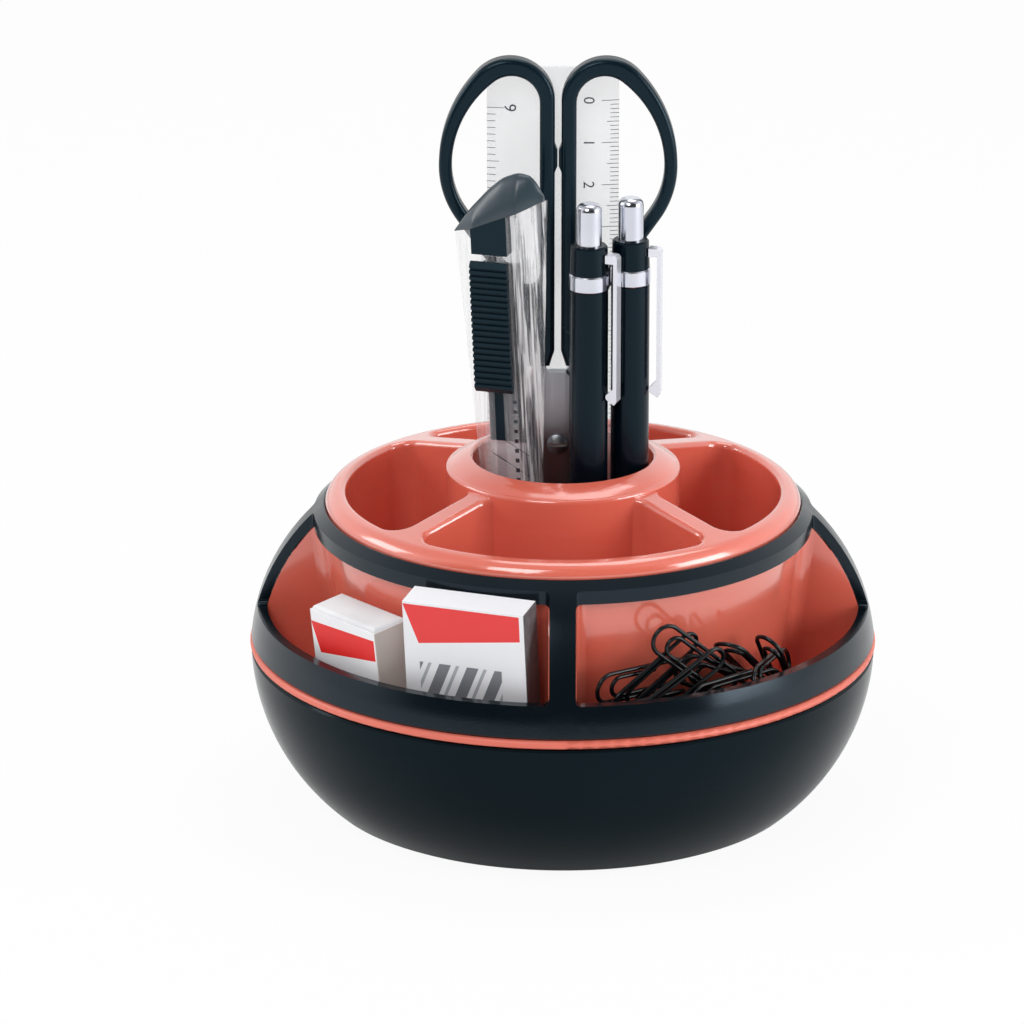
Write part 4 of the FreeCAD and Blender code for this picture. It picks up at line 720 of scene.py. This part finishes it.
sleeve, sleeve_axes, sleeve_fibre = card("eraser_card", ERASER_BASE, ERASER_TURN)
sleeve_x, sleeve_y, sleeve_z = sleeve_axes
panel = (
    sleeve_y.below(SLEEVE_FRONT)
    * (sleeve_z - sleeve_x * PANEL_TOP_SLOPE).below(PANEL_TOP)
    * (sleeve_z - sleeve_x * PANEL_FOOT_SLOPE).beyond(PANEL_FOOT)
    * (sleeve_x + sleeve_z * PANEL_SLANT).beyond(PANEL_LEFT)
    * sleeve_x.below(PANEL_RIGHT)
)
sides = abs(sleeve_x).beyond(SLEEVE_SIDE)
paper = sleeve.blend(sides, ink("F4F4F7"), ink("CFC4BD"))
dress(
    sleeve.surface(
        Base_Color=sleeve.blend(panel, paper, ink("E8221E")),
        Roughness=0.38 + 0.12 * sleeve.noise(120.0, 3.0),
        Normal=sleeve.relief(sleeve_fibre, 0.00001),
    ),
    "eraser_sleeve",
)

# --- Carton of staples -------------------------------------------------------------------
# A small folding carton of coated white card, open at its ends, with four strips of staples
# in it. Its front has a bare red band over plain slanting grey stripes, and one side is
# dark, partly its print and partly painted shade.

CARTON_BASE = (-0.01763, -0.04959, 0.02188)
CARTON_TURN = Euler((math.radians(7), 0, math.radians(-20)))
CARTON_FRONT, CARTON_SIDE = -0.0078, 0.01435
BAND_TOP, BAND_RIGHT = 0.0463, 0.0133
BAND_FOOT, BAND_FOOT_SLOPE = 0.0383, 0.1379
BAND_LEFT, BAND_SLANT = 0.0022, 0.36
STRIPE_PITCH, STRIPE_SLANT = 0.0066, 0.42
STRIPES_MIDDLE, STRIPES_HALF, STRIPES_TOP = -0.0012, 0.0098, 0.0322
STAPLE_WIRE = 0.0006

box, (box_x, box_y, box_z), box_fibre = card("carton_card", CARTON_BASE, CARTON_TURN)
front = box_y.below(CARTON_FRONT)
band = (
    front
    * box_z.below(BAND_TOP)
    * (box_z - box_x * BAND_FOOT_SLOPE).beyond(BAND_FOOT)
    * (box_x + box_z * BAND_SLANT).beyond(BAND_LEFT)
    * box_x.below(BAND_RIGHT)
)
stripe_run = ((box_x - box_z * STRIPE_SLANT) * (1 / STRIPE_PITCH)).maths("FRACT")
stripes = front * box_z.below(STRIPES_TOP) * abs(box_x - STRIPES_MIDDLE).below(STRIPES_HALF)
wide_stripes = stripes * stripe_run.below(0.42, 0.02)
thin_stripes = stripes * abs(stripe_run - 0.66).below(0.06, 0.02)
# The right side is painted dark: partly its print, partly painted shade.
print_and_shade_side = box_x.beyond(CARTON_SIDE) * (0.82 + 0.18 * box.noise(500.0, 2.0))
board = box.blend(0.8 * thin_stripes, ink("F3F4F8"), ink("9A9EA6"))
board = box.blend(0.85 * wide_stripes, board, ink("555A63"))
board = box.blend(print_and_shade_side, board, ink("3A3538"))
dress(
    box.surface(
        Base_Color=box.blend(band, board, ink("EE3B3B")),
        Roughness=0.34 + 0.14 * box.noise(120.0, 3.0),
        Normal=box.relief(box_fibre, 0.00001),
    ),
    "staple_carton",
)

strips = Finish("staple_steel")
_, _, strip_z = strips.axes(strips.turned(CARTON_BASE, CARTON_TURN))
# The seams between the wires are painted darker, painted shade beside their relief.
wire_relief_and_seam_shade = (strip_z * (math.tau / STAPLE_WIRE)).maths("SINE") * 0.5 + 0.5
dress(
    strips.surface(
        Base_Color=strips.blend(wire_relief_and_seam_shade, ink("8A8E94"), ink("C3C7CC")),
        Metallic=1.0,
        Roughness=0.3 + 0.1 * strips.noise(90.0, 2.0),
        Normal=strips.relief(wire_relief_and_seam_shade, 0.0001),
    ),
    "staple_strips",
)

# --- Paper clips -------------------------------------------------------------------------
# Small office clips, bent from round steel wire and dipped in glossy black vinyl. They lie
# in a loose heap in one of the outer pockets.

vinyl_wire = moulded("clip_wire", "090E12", "04080B", (0.2, 0.32), 0.000006, IOR=1.42)
dress(vinyl_wire, "paper_clips")

# --- Studio ------------------------------------------------------------------------------
# A round white floor in a white room that is dark in front and dimmer overhead, as shiny
# pieces mirror it. Soft boxes stand in front, above and at both sides.

STAGE_RADIUS, STAGE_SIDES = 3.0, 48
FLOOR_SEEN, FLOOR_MIRRORED, FLOOR_THROUGH = 0.94, 0.2, 0.9
AMBIENT = 0.42
FRONT_GLOW, FRONT_EDGE, FRONT_BLEND = 0.03, -0.42, 0.3
OVERHEAD_LOSS, OVERHEAD_EDGE, OVERHEAD_BLEND = 0.55, 0.7, 0.4
WHITE = (1.0, 1.0, 1.0, 1.0)

sweep = Finish("studio_floor")
sweep_tone = sweep.noise(6.0, 2.0)
paint = sweep.add("ShaderNodeBsdfPrincipled", {}, {
    "Base Color": sweep.blend(sweep_tone, ink("F2F2F2"), ink("F5F5F5")),
    "Roughness": 0.9,
    "Specular IOR Level": 0.1,
}, "BSDF")
glow = sweep.add("ShaderNodeEmission", {}, {"Color": WHITE, "Strength": 1.0}, "Emission")
camera_ray, glossy_ray, clear_ray = sweep.rays()
seen = (FLOOR_SEEN * camera_ray).maths("MAXIMUM", FLOOR_MIRRORED * glossy_ray)
seen = seen.maths("MAXIMUM", FLOOR_THROUGH * clear_ray)
sweep.close("ShaderNodeOutputMaterial", sweep.add("ShaderNodeMixShader", {}, {
    "Fac": seen, "Shader": paint, "Shader_001": glow}, "Shader"))

rim = []
for i in range(STAGE_SIDES):
    angle = math.tau * i / STAGE_SIDES
    rim.append((STAGE_RADIUS * math.cos(angle), STAGE_RADIUS * math.sin(angle), 0.0))
floor_mesh = bpy.data.meshes.new("studio_floor")
floor_mesh.from_pydata(rim, [], [list(range(STAGE_SIDES))])
floor_mesh.materials.append(sweep.material)
floor = stand("studio_floor", floor_mesh)

world = bpy.data.worlds.new("studio")
bpy.context.scene.world = world
world.use_nodes = True
room = ShaderTree(world.node_tree)
heading = room.add("ShaderNodeTexCoord", {}, {}, "Generated")
_, ahead, above = room.axes(heading)
camera_ray, glossy_ray, clear_ray = room.rays()
mirrored = FRONT_GLOW + (1 - FRONT_GLOW) * ahead.beyond(FRONT_EDGE, FRONT_BLEND)
mirrored = mirrored * (1 - OVERHEAD_LOSS * above.beyond(OVERHEAD_EDGE, OVERHEAD_BLEND))
straight = camera_ray.maths("MAXIMUM", clear_ray)
diffuse = 1 - straight.maths("MAXIMUM", glossy_ray)
strength = straight.maths("MAXIMUM", glossy_ray * mirrored) + AMBIENT * diffuse
room.close("ShaderNodeOutputWorld", room.add("ShaderNodeBackground", {}, {
    "Color": WHITE, "Strength": strength}, "Background"))

TARGET = Vector((0.0, 0.0, 0.06))
SOFT_BOXES = {
    "key_box": ((-0.4, -0.85, 0.9), 0.5, 4.6),
    "right_box": ((0.84, -0.32, 0.3), 0.46, 4.0),
    "left_box": ((-0.85, 0.1, 0.42), 0.4, 2.0),
    "top_box": ((0.1, 0.3, 1.0), 0.6, 3.0),
}

for name, (place, size, power) in SOFT_BOXES.items():
    lamp = bpy.data.lights.new(name, "AREA")
    lamp.shape = "SQUARE"
    lamp.size = size
    lamp.energy = power
    soft_box = stand(name, lamp)
    soft_box.location = place
    soft_box.rotation_euler = (TARGET - Vector(place)).to_track_quat("-Z", "Y").to_euler()

# --- Camera ------------------------------------------------------------------------------
# A long lens, which keeps the round forms calm. It stands a metre and a half in front of the
# organiser and looks down on it at 19 degrees.

VIEW_FROM = (0.0, -1.5, 0.5818)
VIEW_DOWN, VIEW_LEFT = math.radians(18.88), math.radians(0.45)

lens = bpy.data.cameras.new("camera")
lens.sensor_width = 36.0
lens.lens = 241.0
camera = stand("camera", lens)
camera.location = VIEW_FROM
camera.rotation_euler = (math.pi / 2 - VIEW_DOWN, 0.0, VIEW_LEFT)
bpy.context.scene.camera = camera
bpy.context.scene.view_settings.view_transform = "Standard"
